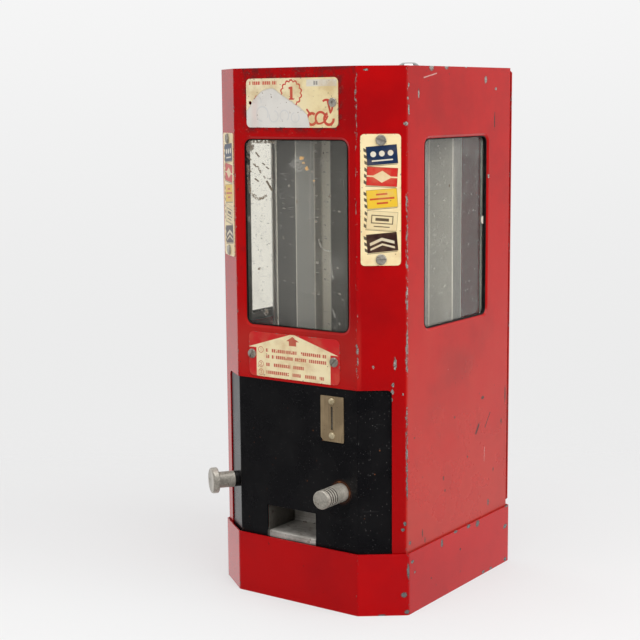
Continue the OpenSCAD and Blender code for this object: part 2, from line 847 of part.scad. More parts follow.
module plunger_knob() {
    r = plunger_d / 2;
    groove = 0.7;
    tip = plunger_out;
    inner = -4;
    grooves = [for (i = [0 : 3]) tip - 4.4 - i * 3.1];
    color("silver") facing_front(plunger_x, plunger_z, panel_face) difference() {
        rotate_extrude($fn = 64) polygon(concat(
            [[0, inner], [r, inner], [r, tip - 1.2]],
            [for (a = [0 : 22.5 : 90]) [r - 1.2 + 1.2 * cos(a), tip - 1.2 + 1.2 * sin(a)]],
            [[0, tip]]));
        for (g = grooves) translate([0, 0, g]) rotate_extrude($fn = 64)
            translate([r, 0]) circle(r = groove, $fn = 24);
        translate([0, 0, inner - over]) cylinder(h = 16 + over, r = rod_r + fit, $fn = 48);
    }
}

module plunger_rod() {
    color("lightgray") facing_front(plunger_x, plunger_z, rod_back)
        cylinder(h = rod_back - panel_face + 10, r = rod_r, $fn = 48);
}

module plunger_bushing() {
    back = panel_face + panel_t;
    color([0.35, 0.25, 0.18]) difference() {
        union() {
            facing_front(plunger_x, plunger_z, back + 2) cylinder(h = 2 - running, r = 13, $fn = 48);
            facing_front(plunger_x, plunger_z, -92)
                cylinder(h = -92 - panel_face + 0.5, r = plunger_hole_r - running, $fn = 48);
        }
        facing_front(plunger_x, plunger_z, -80) cylinder(h = 40, r = rod_r + running, $fn = 48);
        facing_front(plunger_x, plunger_z, panel_face + 4.4)
            cylinder(h = 10, r = plunger_d / 2 + gap, $fn = 48);
    }
}

module plunger_guide() {
    x0 = plunger_x - 9;
    x1 = plunger_x + 11;
    color("slategray") difference() {
        union() {
            sideways(x0, x1 - x0)
                polygon(folded([[guide_y, plunger_z - 10], [guide_y, deck_z], [guide_y + 8, deck_z]],
                               -bracket_t, 3));
            facing_front(plunger_x, plunger_z, guide_bush[1])
                cylinder(h = guide_bush[1] - guide_bush[0], r = 7, $fn = 48);
        }
        facing_front(plunger_x, plunger_z, 0) cylinder(h = 40, r = rod_r + running, $fn = 48);
    }
}

// Coin track: the coin rolls back and down from the slot to the carrier

coin_gap = 2.2;
cheek = 1;
coin_d = 19.05;
rail_z = 103;
lug_y = [-52.5, -50];
outlet = [-50.5, -29.5];
outlet_z = 124;
cheek_x0 = coin_x - coin_gap / 2 - cheek;
panel_back_y = panel_face + panel_t + running;

// Side view of the track, d outside the path of the coin
function track_side(d) =
    [[panel_back_y, coin_z - 10.2 - d], [outlet[0] - d, outlet_z - d], [outlet[1] + d, outlet_z - d],
     [outlet[1] + d, 144 + d], [panel_back_y + 11, coin_z + 10.2 + d], [panel_back_y, coin_z + 10.2 + d]];

module coin_chute() {
    color("rosybrown") difference() {
        union() {
            sideways(cheek_x0, coin_gap + 2 * cheek) polygon(track_side(cheek));
            // Left cheek carried down to the rail that the coin is pushed along
            sideways(cheek_x0, cheek)
                polygon([[-68, rail_z - 1.2], [-28, rail_z - 1.2], [-28.5, outlet_z + 1], [-52, outlet_z + 1],
                         [-68, rail_z + 6]]);
            sideways(cheek_x0, coin_gap + cheek) polygon(span(-68, rail_z - 1.2, -28, rail_z));
            // Flange against the panel, held by the slot plate's screws
            upright(panel_back_y, cheek)
                polygon(span(coin_x - 6.5, coin_z - 19, coin_x + 9, coin_z + 18.5));
        }
        sideways(cheek_x0 + cheek, coin_gap) polygon(concat(track_side(0), [[panel_back_y - 1, coin_z + 10.2],
                                                            [panel_back_y - 1, coin_z - 10.2]]));
        sideways(cheek_x0 + cheek, coin_gap) polygon(span(outlet[0], outlet_z - 3, outlet[1], outlet_z + 1));
        for (s = coin_screws) facing_front(s[0], s[1], panel_back_y + 2) cylinder(h = 6, r = 1.35, $fn = 24);
    }
}

coin_plate_t = 1;

module coin_slot_plate() {
    outline = [[25.2, 149.8], [28.2, 146.8], [48.2, 146.8], [48.2, 185.6], [25.2, 185.6]];
    color([0.5, 0.45, 0.38]) difference() {
        upright(panel_face - coin_plate_t, coin_plate_t - running) polygon(rounded(outline, 0.6));
        upright(panel_face - coin_plate_t - over, coin_plate_t + 2 * over)
            polygon(span(coin_x - slot_w / 2, coin_z - slot_l / 2, coin_x + slot_w / 2, coin_z + slot_l / 2));
        for (s = coin_screws) facing_front(s[0], s[1], panel_face + over) cylinder(h = 6, r = 1.35, $fn = 24);
    }
}

module coin_slot_screws() {
    color("khaki") for (s = coin_screws) facing_front(s[0], s[1], panel_face - coin_plate_t) {
        rotate_extrude($fn = 32)
            polygon([[0, 0], [2.9, 0], [2.75, 0.9], [2.2, 1.6], [1.2, 2.1], [0, 2.3]]);
        translate([0, 0, -4]) cylinder(h = 4 + eps, r = 1.25, $fn = 24);
    }
}

// Carrier on the rod: its low rear wall pushes the coin, its tall front wall brings the
// ejector home. Without a coin the rear wall passes under the ejector's lug.
carrier_x = [37.9, 50.8];
carrier_y = [-56, -27];
carrier_z = [98, 110];

module coin_carrier() {
    wall_x0 = cheek_x0 + cheek + gap;
    wall_z0 = rail_z + 0.5;
    color("burlywood") difference() {
        union() {
            translate([carrier_x[0], carrier_y[0], carrier_z[0]])
                cube([carrier_x[1] - carrier_x[0], carrier_y[1] - carrier_y[0], carrier_z[1] - carrier_z[0]]);
            translate([wall_x0, lug_y[0] - gap - 2.4, wall_z0])
                cube([carrier_x[0] - wall_x0 + 2, 2.4, 120 - wall_z0]);
            translate([wall_x0, lug_y[1] + coin_d + 0.6, wall_z0])
                cube([carrier_x[0] - wall_x0 + 2, 3, 111.6 - wall_z0]);
        }
        facing_front(plunger_x, plunger_z, 0) cylinder(h = 90, r = rod_r + fit, $fn = 48);
    }
}

// Helical spring round the rod, from the guide to the collar
spring_wire = 1.1;
spring_r = 6;
spring_turns = 10;
spring_sides = 6;
spring_steps = 14;
spring_y0 = guide_bush[1];
spring_y1 = collar[0];

module return_spring() {
    rings = spring_turns * spring_steps;
    length = spring_y1 - spring_y0 - spring_wire - 0.2;
    points = [for (i = [0 : rings], k = [0 : spring_sides - 1])
        let (a = i * 360 / spring_steps, b = k * 360 / spring_sides,
             r = spring_r + spring_wire / 2 * cos(b),
             y = spring_y0 + spring_wire / 2 + 0.1 + length * i / rings + spring_wire / 2 * sin(b))
        [plunger_x + r * cos(a), y, plunger_z + r * sin(a)]];
    sides = [for (i = [0 : rings - 1], k = [0 : spring_sides - 1])
        let (n = (k + 1) % spring_sides, a = i * spring_sides, b = a + spring_sides)
        each [[a + k, a + n, b + k], [a + n, b + n, b + k]]];
    ends = [for (k = [1 : spring_sides - 2])
        each [[0, k + 1, k], [rings * spring_sides, rings * spring_sides + k, rings * spring_sides + k + 1]]];
    color("dimgray") polyhedron(points, [for (f = concat(sides, ends)) [f[0], f[2], f[1]]]);
}

module spring_collar() {
    color("silver") difference() {
        facing_front(plunger_x, plunger_z, collar[1]) cylinder(h = collar[1] - collar[0], r = 7, $fn = 48);
        facing_front(plunger_x, plunger_z, collar[1] + over) cylinder(h = 8, r = rod_r + fit, $fn = 48);
        translate([plunger_x, (collar[0] + collar[1]) / 2, plunger_z]) cylinder(h = 9, r = 1, $fn = 24);
    }
}

// Ejector: the blade on the deck and the arm that the coin pushes
module ejector() {
    arm_x = 51.5;
    arm_t = 2;
    lug_z = [113, 120.5];
    bar_z = [192, deck_z - 0.4];
    color("lightsteelblue") union() {
        // Upright arm beside the rod
        sideways(arm_x, arm_t)
            polygon([[stem_y, bar_z[1]], [stem_y, 160], [lug_y[0], 128], [lug_y[0], lug_z[0]],
                     [lug_y[1] + 4, lug_z[0]], [lug_y[1] + 6, 124], [stem_y + stem_l, 152],
                     [stem_y + stem_l, bar_z[1]]]);
        // Lug over the rod, in front of the coin
        translate([cheek_x0 + cheek + gap, lug_y[0], lug_z[0]])
            cube([arm_x + eps - cheek_x0 - cheek - gap, lug_y[1] - lug_y[0], lug_z[1] - lug_z[0]]);
        // Bar under the deck
        translate([-stem_half, stem_y, bar_z[0]])
            cube([arm_x + eps + stem_half, stem_l, bar_z[1] - bar_z[0]]);
        // Stem through the deck's slot
        translate([-stem_half, stem_y, bar_z[1] - eps])
            cube([2 * stem_half, stem_l, deck_top + gap - bar_z[1] + 2 * eps]);
        // Blade that pushes the lowest pack out
        translate([-14, blade_y, deck_top + gap]) cube([28, blade_l, 2.8]);
    }
}

// Chute, tray and cash box

chute_t = 0.8;
chute_z = [86, deck_z - 0.2];
tray_back = -63;

// Hopper between the deck's gap and the tray: front view and side view, d outside the way
function chute_front(d) =
    [[-drop_half - d, chute_z[1] + d * over], [delivery[0] - d, chute_z[0] - d],
     [delivery[1] + d, chute_z[0] - d], [delivery[1] + d, 108], [drop_half + d, chute_z[1] + d]];
function chute_side(d, y0) =
    [[y0, chute_z[0] - d], [tray_back + d, chute_z[0] - d], [deck_front + 0.5 + d, 150],
     [deck_front + 0.5 + d, chute_z[1] + d], [y0, chute_z[1] + d]];

module chute_way(d, y0) {
    intersection() {
        upright(y0, 60) polygon(chute_front(d));
        sideways(-60, 120) polygon(chute_side(d, y0));
    }
}

module drop_chute() {
    y0 = panel_back_y;
    color("gray") difference() {
        union() {
            chute_way(chute_t, y0);
            // Flange against the panel
            upright(y0, chute_t) polygon(chute_front(3));
        }
        chute_way(0, y0 - over);
        translate([-60, y0 - over, chute_z[1]]) cube([120, 60, 10]);
        translate([-60, y0 - over, chute_z[0] - 10]) cube([120, 60, 10]);
    }
}

module delivery_tray() {
    front = panel_face - 0.3;
    back = tray_back - 0.9;
    floor_z = 58.2;
    wall_z = 85.5;
    t = 0.8;
    x0 = delivery[0] + 0.25;
    x1 = delivery[1] - 0.25;
    fold = [[front, base_h], [front, floor_z + t], [back + t, floor_z + t], [back + t, wall_z]];
    color("silver") union() {
        sideways(x0, x1 - x0) polygon(folded(fold, -t, 1.5));
        for (x = [x0, x1 - t]) sideways(x, t)
            polygon([[front + 0.9, floor_z + 0.1], [back, floor_z + 0.1], [back, wall_z],
                     [panel_back_y + 0.1, wall_z], [panel_back_y + 0.1, floor_z + 4]]);
    }
}

// Low box that the coins fall into; it lifts out over the base's rear wall
module cash_box() {
    wall = 0.8;
    x = 74;
    y0 = -88;
    y1 = 70;
    h = 20;
    color("gray") translate([0, 0, base_sheet]) difference() {
        translate([-x, y0, 0]) cube([2 * x, y1 - y0, h]);
        translate([wall - x, y0 + wall, wall]) cube([2 * x - 2 * wall, y1 - y0 - 2 * wall, h]);
    }
}

// Lock in the top, with a hook that goes behind the door's keeper

plug_r = 4.5;
lock_head_r = 10;
plug_z1 = cabinet_h + 6;
hook_r = 12.5;
hook_z0 = 424;
cam_z = 432.5;
cam_t = 2;
stub_r = 2.4;

// Barrel with the nut that holds it under the cover
module lock_barrel() {
    color("silver") lock_nut();
    color("silver") translate([0, lock_y, 0]) difference() {
        union() {
            translate([0, 0, cam_z + 3]) cylinder(h = cabinet_h - cam_z - 3 + eps, r = lock_body_r, $fn = 48);
            translate([0, 0, cabinet_h]) rotate_extrude($fn = 64)
                polygon([[0, 0], [lock_head_r, 0], [lock_head_r, 2.6], [lock_head_r - 0.4, 3.8],
                         [lock_head_r - 1.8, 5.3], [lock_head_r - 4, 6.5], [0, 6.5]]);
        }
        translate([0, 0, cam_z]) cylinder(h = 60, r = plug_r + running, $fn = 48);
    }
}

module lock_nut() {
    translate([0, lock_y, cabinet_h - top_t - 3]) difference() {
        cylinder(h = 3 - running, r = 11, $fn = 6);
        translate([0, 0, -over]) cylinder(h = 6, r = lock_body_r + fit, $fn = 48);
    }
}

module lock_cylinder() {
    color("gold") translate([0, lock_y, 0]) difference() {
        union() {
            translate([0, 0, cam_z + cam_t])
                cylinder(h = plug_z1 - cam_z - cam_t, r = plug_r, $fn = 48);
            // Stub and head that hold the cam
            translate([0, 0, cam_z - 1]) cylinder(h = cam_t + 1 + eps, r = stub_r, $fn = 32);
            translate([0, 0, cam_z - 2]) cylinder(h = 2 - running, r = 3.8, $fn = 32);
        }
        translate([0, 0, plug_z1]) cube([5, 1.2, 6], center = true);
    }
}

// Arm under the lock, bent down into a hook at its end
module lock_cam() {
    half = 4;
    end = -hook_r - 1;
    color("gray") translate([0, lock_y, 0]) difference() {
        union() {
            translate([end, -half, cam_z]) cube([-end, 2 * half, cam_t]);
            translate([0, 0, cam_z]) cylinder(h = cam_t, r = half, $fn = 32);
            translate([end, -half, hook_z0]) cube([cam_t, 2 * half, cam_z - hook_z0 + eps]);
        }
        translate([0, 0, cam_z - over]) cylinder(h = cam_t + 2 * over, r = stub_r + fit, $fn = 32);
    }
}

// Rear door on two butt hinges at the left

door_x0 = -half_w + 0.3;
door_x1 = half_w + 0.35;
door_z0 = 58;
door_z1 = cabinet_h - 2;
pin_x = -half_w - 3;
pin_y = half_d - 1.2;
pin_r = 1.25;
knuckle_r = 2.6;
leaf_t = 1;
hinge_z = [130, 380];
knuckle_h = 12;

module rear_door() {
    clip = 2;
    outline = [[door_x0, door_z0], [door_x1 - clip, door_z0], [door_x1, door_z0 + clip],
               [door_x1, door_z1 - clip], [door_x1 - clip, door_z1], [door_x0, door_z1]];
    ring = [[-81, 70.5], [81, 70.5], [81, 422], [-81, 422]];
    ring_in = [[-80, 71.5], [80, 71.5], [80, 421], [-80, 421]];
    color("firebrick") union() {
        upright(half_d - door_t, door_t) polygon(outline);
        upright(half_d - 10, 10 - door_t + eps) difference() {
            polygon(ring);
            polygon(ring_in);
        }
    }
}

// Bent keeper on the door for the lock's hook
keeper_y = 88;
keeper_z = 422.5;
keeper_h = 8;

module lock_keeper() {
    foot = half_d - 2 * door_t;
    path = [[-6, keeper_y], [10, keeper_y], [10, foot], [21, foot]];
    color("gray") translate([0, 0, keeper_z]) linear_extrude(keeper_h) polygon(folded(path, door_t, 1.6));
}

module hinge_knuckle(z, h) {
    translate([pin_x, pin_y, z]) difference() {
        cylinder(h = h, r = knuckle_r, $fn = 32);
        translate([0, 0, -over]) cylinder(h = h + 2 * over, r = pin_r + running, $fn = 32);
    }
}

module cabinet_hinge_leaves() {
    color("darkred") for (z = hinge_z) difference() {
        union() {
            for (s = [0, 2]) hinge_knuckle(z + s * knuckle_h, knuckle_h - 0.3);
            translate([-half_w - leaf_t, 72, z]) cube([leaf_t - eps, pin_y - 72, 3 * knuckle_h - 0.3]);
        }
        translate([pin_x, pin_y, z - over]) cylinder(h = 60, r = pin_r + running, $fn = 32);
        translate([pin_x, pin_y, z + knuckle_h - 0.3])
            cylinder(h = knuckle_h + 0.3, r = knuckle_r + 0.4, $fn = 32);
    }
}

module door_hinge_leaves() {
    color("darkred") for (z = hinge_z) difference() {
        union() {
            hinge_knuckle(z + knuckle_h, knuckle_h - 0.3);
            translate([pin_x + 1, half_d + fit, z]) cube([26, leaf_t, 3 * knuckle_h - 0.3]);
        }
        translate([pin_x, pin_y, z - over]) cylinder(h = 60, r = pin_r + running, $fn = 32);
        for (s = [0, 2]) translate([pin_x, pin_y, z + s * knuckle_h - 0.3])
            cylinder(h = knuckle_h + 0.3, r = knuckle_r + 0.4, $fn = 32);
    }
}

module hinge_pins() {
    color("silver") for (z = hinge_z)
        translate([pin_x, pin_y, z - 1.5]) cylinder(h = 3 * knuckle_h + 2.7, r = pin_r, $fn = 32);
}

base_pan();
cabinet_shell();
top_cover();
mechanism_panel();
front_glass();
left_glass();
right_glass();
front_glass_frame();
side_glass_frames();
window_gaskets();
name_plate();
instruction_plate();
left_product_plate();
right_product_plate();
plate_screws();
deck_plate();
deck_bearing();
gear_bracket();
foot_bearing();
top_bearing_bar();
top_bearing();
selector_bushing();
selector_bracket();
plunger_bushing();
plunger_guide();
coin_slot_plate();
coin_slot_screws();
coin_chute();
drop_chute();
delivery_tray();
cash_box();
lock_barrel();
cabinet_hinge_leaves();
hinge_pins();
magazine_shaft();
lower_hub();
upper_hub();
lower_pan();
upper_pan();
column(0);  // column_1
column(1);  // column_2
column(2);  // column_3
column(3);  // column_4
column(4);  // column_5
column_rivets();
bevel_gear();
selector_knob();
selector_shaft();
bevel_pinion();
plunger_knob();
plunger_rod();
coin_carrier();
return_spring();
spring_collar();
ejector();
rear_door();
lock_keeper();
door_hinge_leaves();
lock_cylinder();
lock_cam();
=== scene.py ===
# %% [markdown]
# # A coin-operated candy vending machine
#
# The machine is a tall red cabinet of folded steel with windows on three sides. Behind the glass
# stands a five-sided magazine of open channels that the knob on the left corner turns. A coin
# frees the plunger on the right, and pulling it pushes one pack down into the tray.
# The solids come from the CAD model, in metres, standing on the origin with the front at -Y.
# This lesson dresses them: it makes the finishes, two small pieces and the studio.

# %% Load the solids
import json
import math
from functools import partial

import bpy
from mathutils import Matrix, Vector


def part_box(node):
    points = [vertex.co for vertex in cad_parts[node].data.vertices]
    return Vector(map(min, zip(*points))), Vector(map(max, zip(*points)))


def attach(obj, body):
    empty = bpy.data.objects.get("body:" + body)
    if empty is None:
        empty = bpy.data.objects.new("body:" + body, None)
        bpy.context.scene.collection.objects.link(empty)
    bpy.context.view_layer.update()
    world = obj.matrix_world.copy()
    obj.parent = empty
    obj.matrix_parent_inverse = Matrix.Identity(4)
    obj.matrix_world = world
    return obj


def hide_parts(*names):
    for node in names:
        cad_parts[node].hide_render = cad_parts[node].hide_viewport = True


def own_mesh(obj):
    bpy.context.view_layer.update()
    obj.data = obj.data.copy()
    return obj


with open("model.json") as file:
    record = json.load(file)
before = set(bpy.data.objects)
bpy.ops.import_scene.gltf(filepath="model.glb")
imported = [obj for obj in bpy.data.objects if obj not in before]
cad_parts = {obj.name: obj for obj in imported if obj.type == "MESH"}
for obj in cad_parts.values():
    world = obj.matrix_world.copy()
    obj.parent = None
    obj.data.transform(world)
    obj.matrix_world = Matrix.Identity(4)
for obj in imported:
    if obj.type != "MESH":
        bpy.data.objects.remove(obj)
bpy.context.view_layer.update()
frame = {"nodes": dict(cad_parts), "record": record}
solids = frame["nodes"]

# %% [markdown]
# The photograph was taken from the right, a little above the middle of the cabinet, with a long
# lens. The camera was solved from the cabinet's corners, so only its angles, its distance and its
# aim point are written down.

# %% Camera
def cos_sin(degrees):
    return math.cos(math.radians(degrees)), math.sin(math.radians(degrees))


def camera_axes(azimuth, elevation, roll):
    (cos_az, sin_az), (cos_el, sin_el), (c, s) = map(cos_sin, (azimuth, elevation, roll))
    back = Vector((sin_az * cos_el, -cos_az * cos_el, sin_el))
    right = (-back).cross(Vector((0, 0, 1))).normalized()
    up = right.cross(-back)
    return c * right + s * up, c * up - s * right, back


view_azimuth, view_elevation, view_roll = 35.207, 8.64, -0.498
aim_point, view_distance = Vector((-0.0308, -0.02173, 0.23437)), 1.2986
right, up, back = camera_axes(view_azimuth, view_elevation, view_roll)
lens_data = bpy.data.cameras.new("camera")
lens_data.lens, lens_data.sensor_width = 81.12, 36
camera = bpy.data.objects.new("camera", lens_data)
bpy.context.scene.collection.objects.link(camera)
camera.matrix_world = Matrix((right, up, back)).transposed().to_4x4()
camera.location = aim_point + back * view_distance
bpy.context.scene.camera = camera
print("camera at", [round(v, 4) for v in camera.location])

# %% [markdown]
# A material is a small network of nodes. One helper adds a node to the tree that is open, sets its
# options and plugs in its inputs. Sums, products, largest and smallest take any number of values.
# Vectors have sums of their own, and three of these give a number.

# %% Helpers that write nodes
tree = None


def open_tree(opened):
    """From here on the nodes go into this tree."""
    global tree
    tree = opened


def add(kind, inputs=None, **options):
    node = tree.nodes.new("ShaderNode" + kind)
    for name, value in options.items():
        setattr(node, name, value)
    for name, value in (inputs or {}).items():
        if isinstance(value, bpy.types.NodeSocket):
            tree.links.new(value, node.inputs[name])
        elif isinstance(value, tuple) and len(value) == 3 and node.inputs[name].type == "RGBA":
            node.inputs[name].default_value = (*value, 1)
        else:
            node.inputs[name].default_value = value
    return node


def calc(operation, *values):
    result = values[0]
    for value in values[1:] or [None]:
        inputs = {0: result} if value is None else {0: result, 1: value}
        result = add("Math", inputs, operation=operation).outputs[0]
    return result


def vector(operation, a, b=(0, 0, 0), output=0):
    return add("VectorMath", {0: a, 1: b}, operation=operation).outputs[output]


def parts(point):
    return add("SeparateXYZ", {0: point}).outputs


def flat_point(u, v):
    return add("CombineXYZ", {0: u, 1: v}).outputs[0]


plus, minus, times, most, least, size_of = (partial(calc, name) for name in (
    "ADD", "SUBTRACT", "MULTIPLY", "MAXIMUM", "MINIMUM", "ABSOLUTE"))
dot, between, length_of = (partial(vector, name, output="Value") for name in (
    "DOT_PRODUCT", "DISTANCE", "LENGTH"))
print("node helpers ready")

# %% [markdown]
# Every finish is made of a few patterns: soft steps, coats of colour, cloudy noise, scattered
# specks, spots at a chosen place and drawn strokes. An outline turns ragged when a little noise is
# added to a distance before it is cut off.

# %% Helpers for patterns
def step(value, low, high):
    """0 below low, 1 above high and a smooth ramp between them."""
    inputs = {"Value": value, "From Min": low, "From Max": high}
    return add("MapRange", inputs, interpolation_type="SMOOTHSTEP").outputs[0]


def below(value, limit, soft):
    return minus(1, step(value, limit - soft, limit + soft))


def inside(value, low, high, soft=0.12):
    return times(step(value, low - soft, low + soft), below(value, high, soft))


def mix(factor, a, b):
    return add("Mix", {0: factor, 6: a, 7: b}, data_type="RGBA").outputs[2]


def coats(base, *rows):
    """Tones over a base. A row is masks, which are multiplied, and then the tone."""
    for *masks, tone in rows:
        base = mix(times(*masks) if len(masks) > 1 else masks[0], base, tone)
    return base


def grey(level):
    return (level, level, level)


def here():
    return add("TexCoord").outputs["Object"]


def where(scale=(1, 1, 1), turn=(0, 0, 0)):
    """The place on the object in metres, stretched and turned."""
    return add("Mapping", {"Vector": here(), "Scale": scale, "Rotation": turn}).outputs[0]


def noise(place, scale, detail=3, roughness=0.55):
    inputs = {"Vector": place, "Scale": scale, "Detail": detail, "Roughness": roughness}
    return add("TexNoise", inputs).outputs[0]


def ragged(place, scale, amount):
    return times(minus(noise(place, scale, 4, 0.6), 0.5), amount)


def shaken(place, scale, amount):
    """The place moved by noise, so that dots get a ragged outline."""
    cloud = add("TexNoise", {"Vector": place, "Scale": scale}).outputs["Color"]
    return vector("ADD", place, vector("MULTIPLY", cloud, (amount,) * 3))


def specks(place, scale, size, share, dimensions="3D"):
    """Small dots: one in each Voronoi cell, kept in only a share of the cells."""
    cells = add("TexVoronoi", {"Vector": place, "Scale": scale}, voronoi_dimensions=dimensions)
    red = add("SeparateColor", {0: cells.outputs["Color"]}).outputs[0]
    near = below(cells.outputs["Distance"], size, size * 0.25)
    return times(near, calc("GREATER_THAN", red, 1 - share))


def smallest(values):
    return least(*values) if len(values) > 1 else values[0]


def nearest_spot(place, spots):
    """Distance to the nearest of several spots, in units of each spot's own half size."""
    return smallest([length_of(vector("DIVIDE", vector("SUBTRACT", place, centre), size))
                     for centre, size in spots])


def line_gap(flat, a, b):
    """Distance in a plane from the straight line between a and b."""
    length = math.dist(a, b)
    along = ((b[0] - a[0]) / length, (b[1] - a[1]) / length, 0)
    moved = vector("SUBTRACT", flat, ((a[0] + b[0]) / 2, (a[1] + b[1]) / 2, 0))
    beyond = most(minus(size_of(dot(moved, along)), length / 2), 0)
    return length_of(flat_point(beyond, dot(moved, (-along[1], along[0], 0))))


def strokes(flat, lines, rough=0, soft=0.12):
    """One mask for many drawn strokes; each row is two ends and half a width."""
    nearest = smallest([minus(line_gap(flat, a, b), half) for a, b, half in lines])
    return below(plus(nearest, rough), 0, soft)


print("pattern helpers ready")

# %% [markdown]
# Last of the helpers: a new material, whose tree is then the open one, links into its shader, and
# a bump. A value that is the same all over is set on the shader's own socket, so that it survives
# the export.

# %% Helpers for finishes
def shader():
    """The surface shader of the open tree."""
    return tree.nodes["Principled BSDF"]


def new_finish(name, **constants):
    """A material, and the place on the object in its tree."""
    material = bpy.data.materials.new(name)
    material.use_nodes = True
    open_tree(material.node_tree)
    for socket, value in constants.items():
        shader().inputs[socket.replace("_", " ")].default_value = value
    return material, where()


def plug(**sockets):
    for name, value in sockets.items():
        tree.links.new(value, shader().inputs[name.replace("_", " ")])


def bump(height, distance):
    inputs = {"Height": height, "Distance": distance, "Strength": 1}
    plug(Normal=add("Bump", inputs).outputs[0])


finishes = {}
print("finish helpers ready")

# %% [markdown]
# The cabinet is gloss enamel on steel, and its wear is the first thing one sees. Paint chips off
# along the upright folds and the edges, so a chip shows where a noise is stronger than the
# distance to the nearest fold. Some stretches of a fold get a bonus, because hands and neighbours
# rubbed there. The distance is measured in plan, with left and right taken together.

# %% Where the paint wears
cabinet_folds = [(0.0622, -0.1015), (0.0952, -0.0765), (0.0952, 0.1)]
base_folds = [(0.0629, -0.1035), (0.0972, -0.0775), (0.0972, 0.103)]
# fold, lowest and highest point in metres, bonus; the left folds get half of it
cabinet_bands = [
    (0, 0.396, 0.452, 0.09), (0, 0.366, 0.378, 0.1), (0, 0.205, 0.232, 0.1),
    (1, 0.205, 0.352, 0.15), (1, 0.1, 0.18, 0.13), (2, 0.1, 0.19, 0.06)]
base_bands = [(1, 0.032, 0.05, 0.07), (1, 0, 0.01, 0.06)]


def fold_wear(x, y, height, folds, bands, wear):
    """Zero on a fold and less away from it, with bonuses along the worn stretches."""
    plan = flat_point(size_of(x), y)
    handed = plus(times(step(x, -0.01, 0.01), 0.5), 0.5)
    edges = []
    for number, (fold_x, fold_y) in enumerate(folds):
        away = minus(between(plan, (fold_x, fold_y, 0)), 0.0009)
        worn = times(most(away, 0), -wear)
        for fold, low, high, bonus in bands:
            if fold == number:
                worn = plus(worn, times(inside(height, low, high, 0.006), handed, bonus))
        edges.append(worn)
    return most(*edges)


print(len(cabinet_bands) + len(base_bands), "worn stretches")

# %% [markdown]
# Some chips and scratches have a place of their own, in millimetres. A knock is an ellipsoid that
# touches the face, so it needs no direction. Its row says y and z on a side face, or the distance
# from the front fold and z on the right corner face, and then half its width and half its height.

# %% Chips and marks that have a place
corner_run = Vector((33, 25, 0)).normalized()


def on_side(x, rows):
    return [((x / 1000, y / 1000, z / 1000), (0.004, half_y / 1000, half_z / 1000))
            for y, z, half_y, half_z in rows]


def on_corner(out, rows):
    start = Vector((62.25, -101.5, 0)) + out * Vector((25, -33, 0)).normalized()
    spots = []
    for along, z, half, half_z in rows:
        spot = start + along * corner_run
        spots.append(((spot.x / 1000, spot.y / 1000, z / 1000),
                      (half / 1000, half / 1000, half_z / 1000)))
    return spots


cabinet_side = 95.2
cabinet_knocks = on_side(cabinet_side, [
    (-38.8, 455.6, 3.4, 2.4), (-14.4, 456.4, 3.2, 1.8), (53.1, 446.4, 2.2, 3),
    (71.5, 438.7, 1.9, 1.2), (-59, 434.1, 1.2, 3.8), (60.1, 362.4, 1.3, 1.8),
    (64.2, 64.7, 1.5, 2.8), (-74.4, 441.4, 1.1, 1.8), (-75.6, 430.9, 1, 1.4),
    (-74.4, 421.6, 1.2, 4), (-77, 410.8, 1.5, 1.7), (-72, 61.4, 1.8, 1.5),
    (18.1, 456.8, 1.6, 0.9)])
cabinet_knocks += on_corner(0, [
    (39.6, 79.1, 1.4, 2), (37.9, 73.9, 1.6, 1.4), (31.3, 215.2, 1.3, 4.8),
    (29.6, 197.6, 1.3, 1.8), (29.2, 191.7, 1.3, 2.2), (28.6, 185, 0.9, 2),
    (37.9, 189.5, 0.7, 1.1), (8.2, 453.8, 2, 0.9)])
cabinet_marks = on_side(cabinet_side, [
    (52.2, 164.4, 2.2, 1.4), (87.7, 136.1, 1.1, 2.4), (2, 155.5, 1, 0.8),
    (-65.1, 150.4, 0.8, 0.7), (25.2, 115.4, 0.9, 0.9), (-16.6, 104.9, 1, 1.6),
    (-14.1, 93.6, 1, 0.9), (73.2, 93.8, 0.8, 1.8), (-51.7, 64.7, 0.8, 3), (-47.6, 57.7, 0.7, 2.2),
    (94.9, 160, 1, 7), (70, 411, 0.7, 6)])
base_side = 97.2
base_knocks = on_side(base_side, [
    (41, 50.6, 3.4, 2.8), (24.8, 51.9, 2.8, 1.7), (1.7, 52.8, 2.8, 1.1), (-22.3, 48.5, 1.7, 3.4),
    (-71.2, 45.2, 2.4, 1.5), (-67.2, 35.1, 1, 1.1), (94.1, 34.8, 3.2, 1.9), (97, 53.6, 2.6, 1.3),
    (94.8, 2.5, 2.2, 1.8), (67, 1.4, 2.2, 1), (52.7, 1.9, 2.4, 1.2)])
base_knocks += on_corner(2, [
    (42.6, 38.2, 1.5, 5.2), (38.7, 18, 2.5, 2.3), (41.1, 3, 2.5, 1.7), (20, 0.6, 3, 0.7)])
base_marks = on_side(base_side, [(9.9, 34.6, 1, 0.9), (-40, 22, 0.7, 0.7)])
dark_scratches = [((66.4, 148.2), (57.2, 136.4), 0.5), ((45.5, 140.5), (40.4, 133.8), 1.25)]
pale_scratches = [((-50.9, 447.5), (-30.7, 451.1), 0.45), ((56.5, 118), (56, 105), 0.3)]
print(len(cabinet_knocks) + len(base_knocks), "chips and",
      len(cabinet_marks) + len(base_marks), "dark marks")

# %% [markdown]
# The enamel is one builder for the cabinet, the base and the hinges. Paint, a dark rim, bare metal
# and dirt lie over each other with masks. The bare metal is grey primer and steel, dull and hardly
# metallic, bluish low down and warmer near the top. Level faces keep their paint.

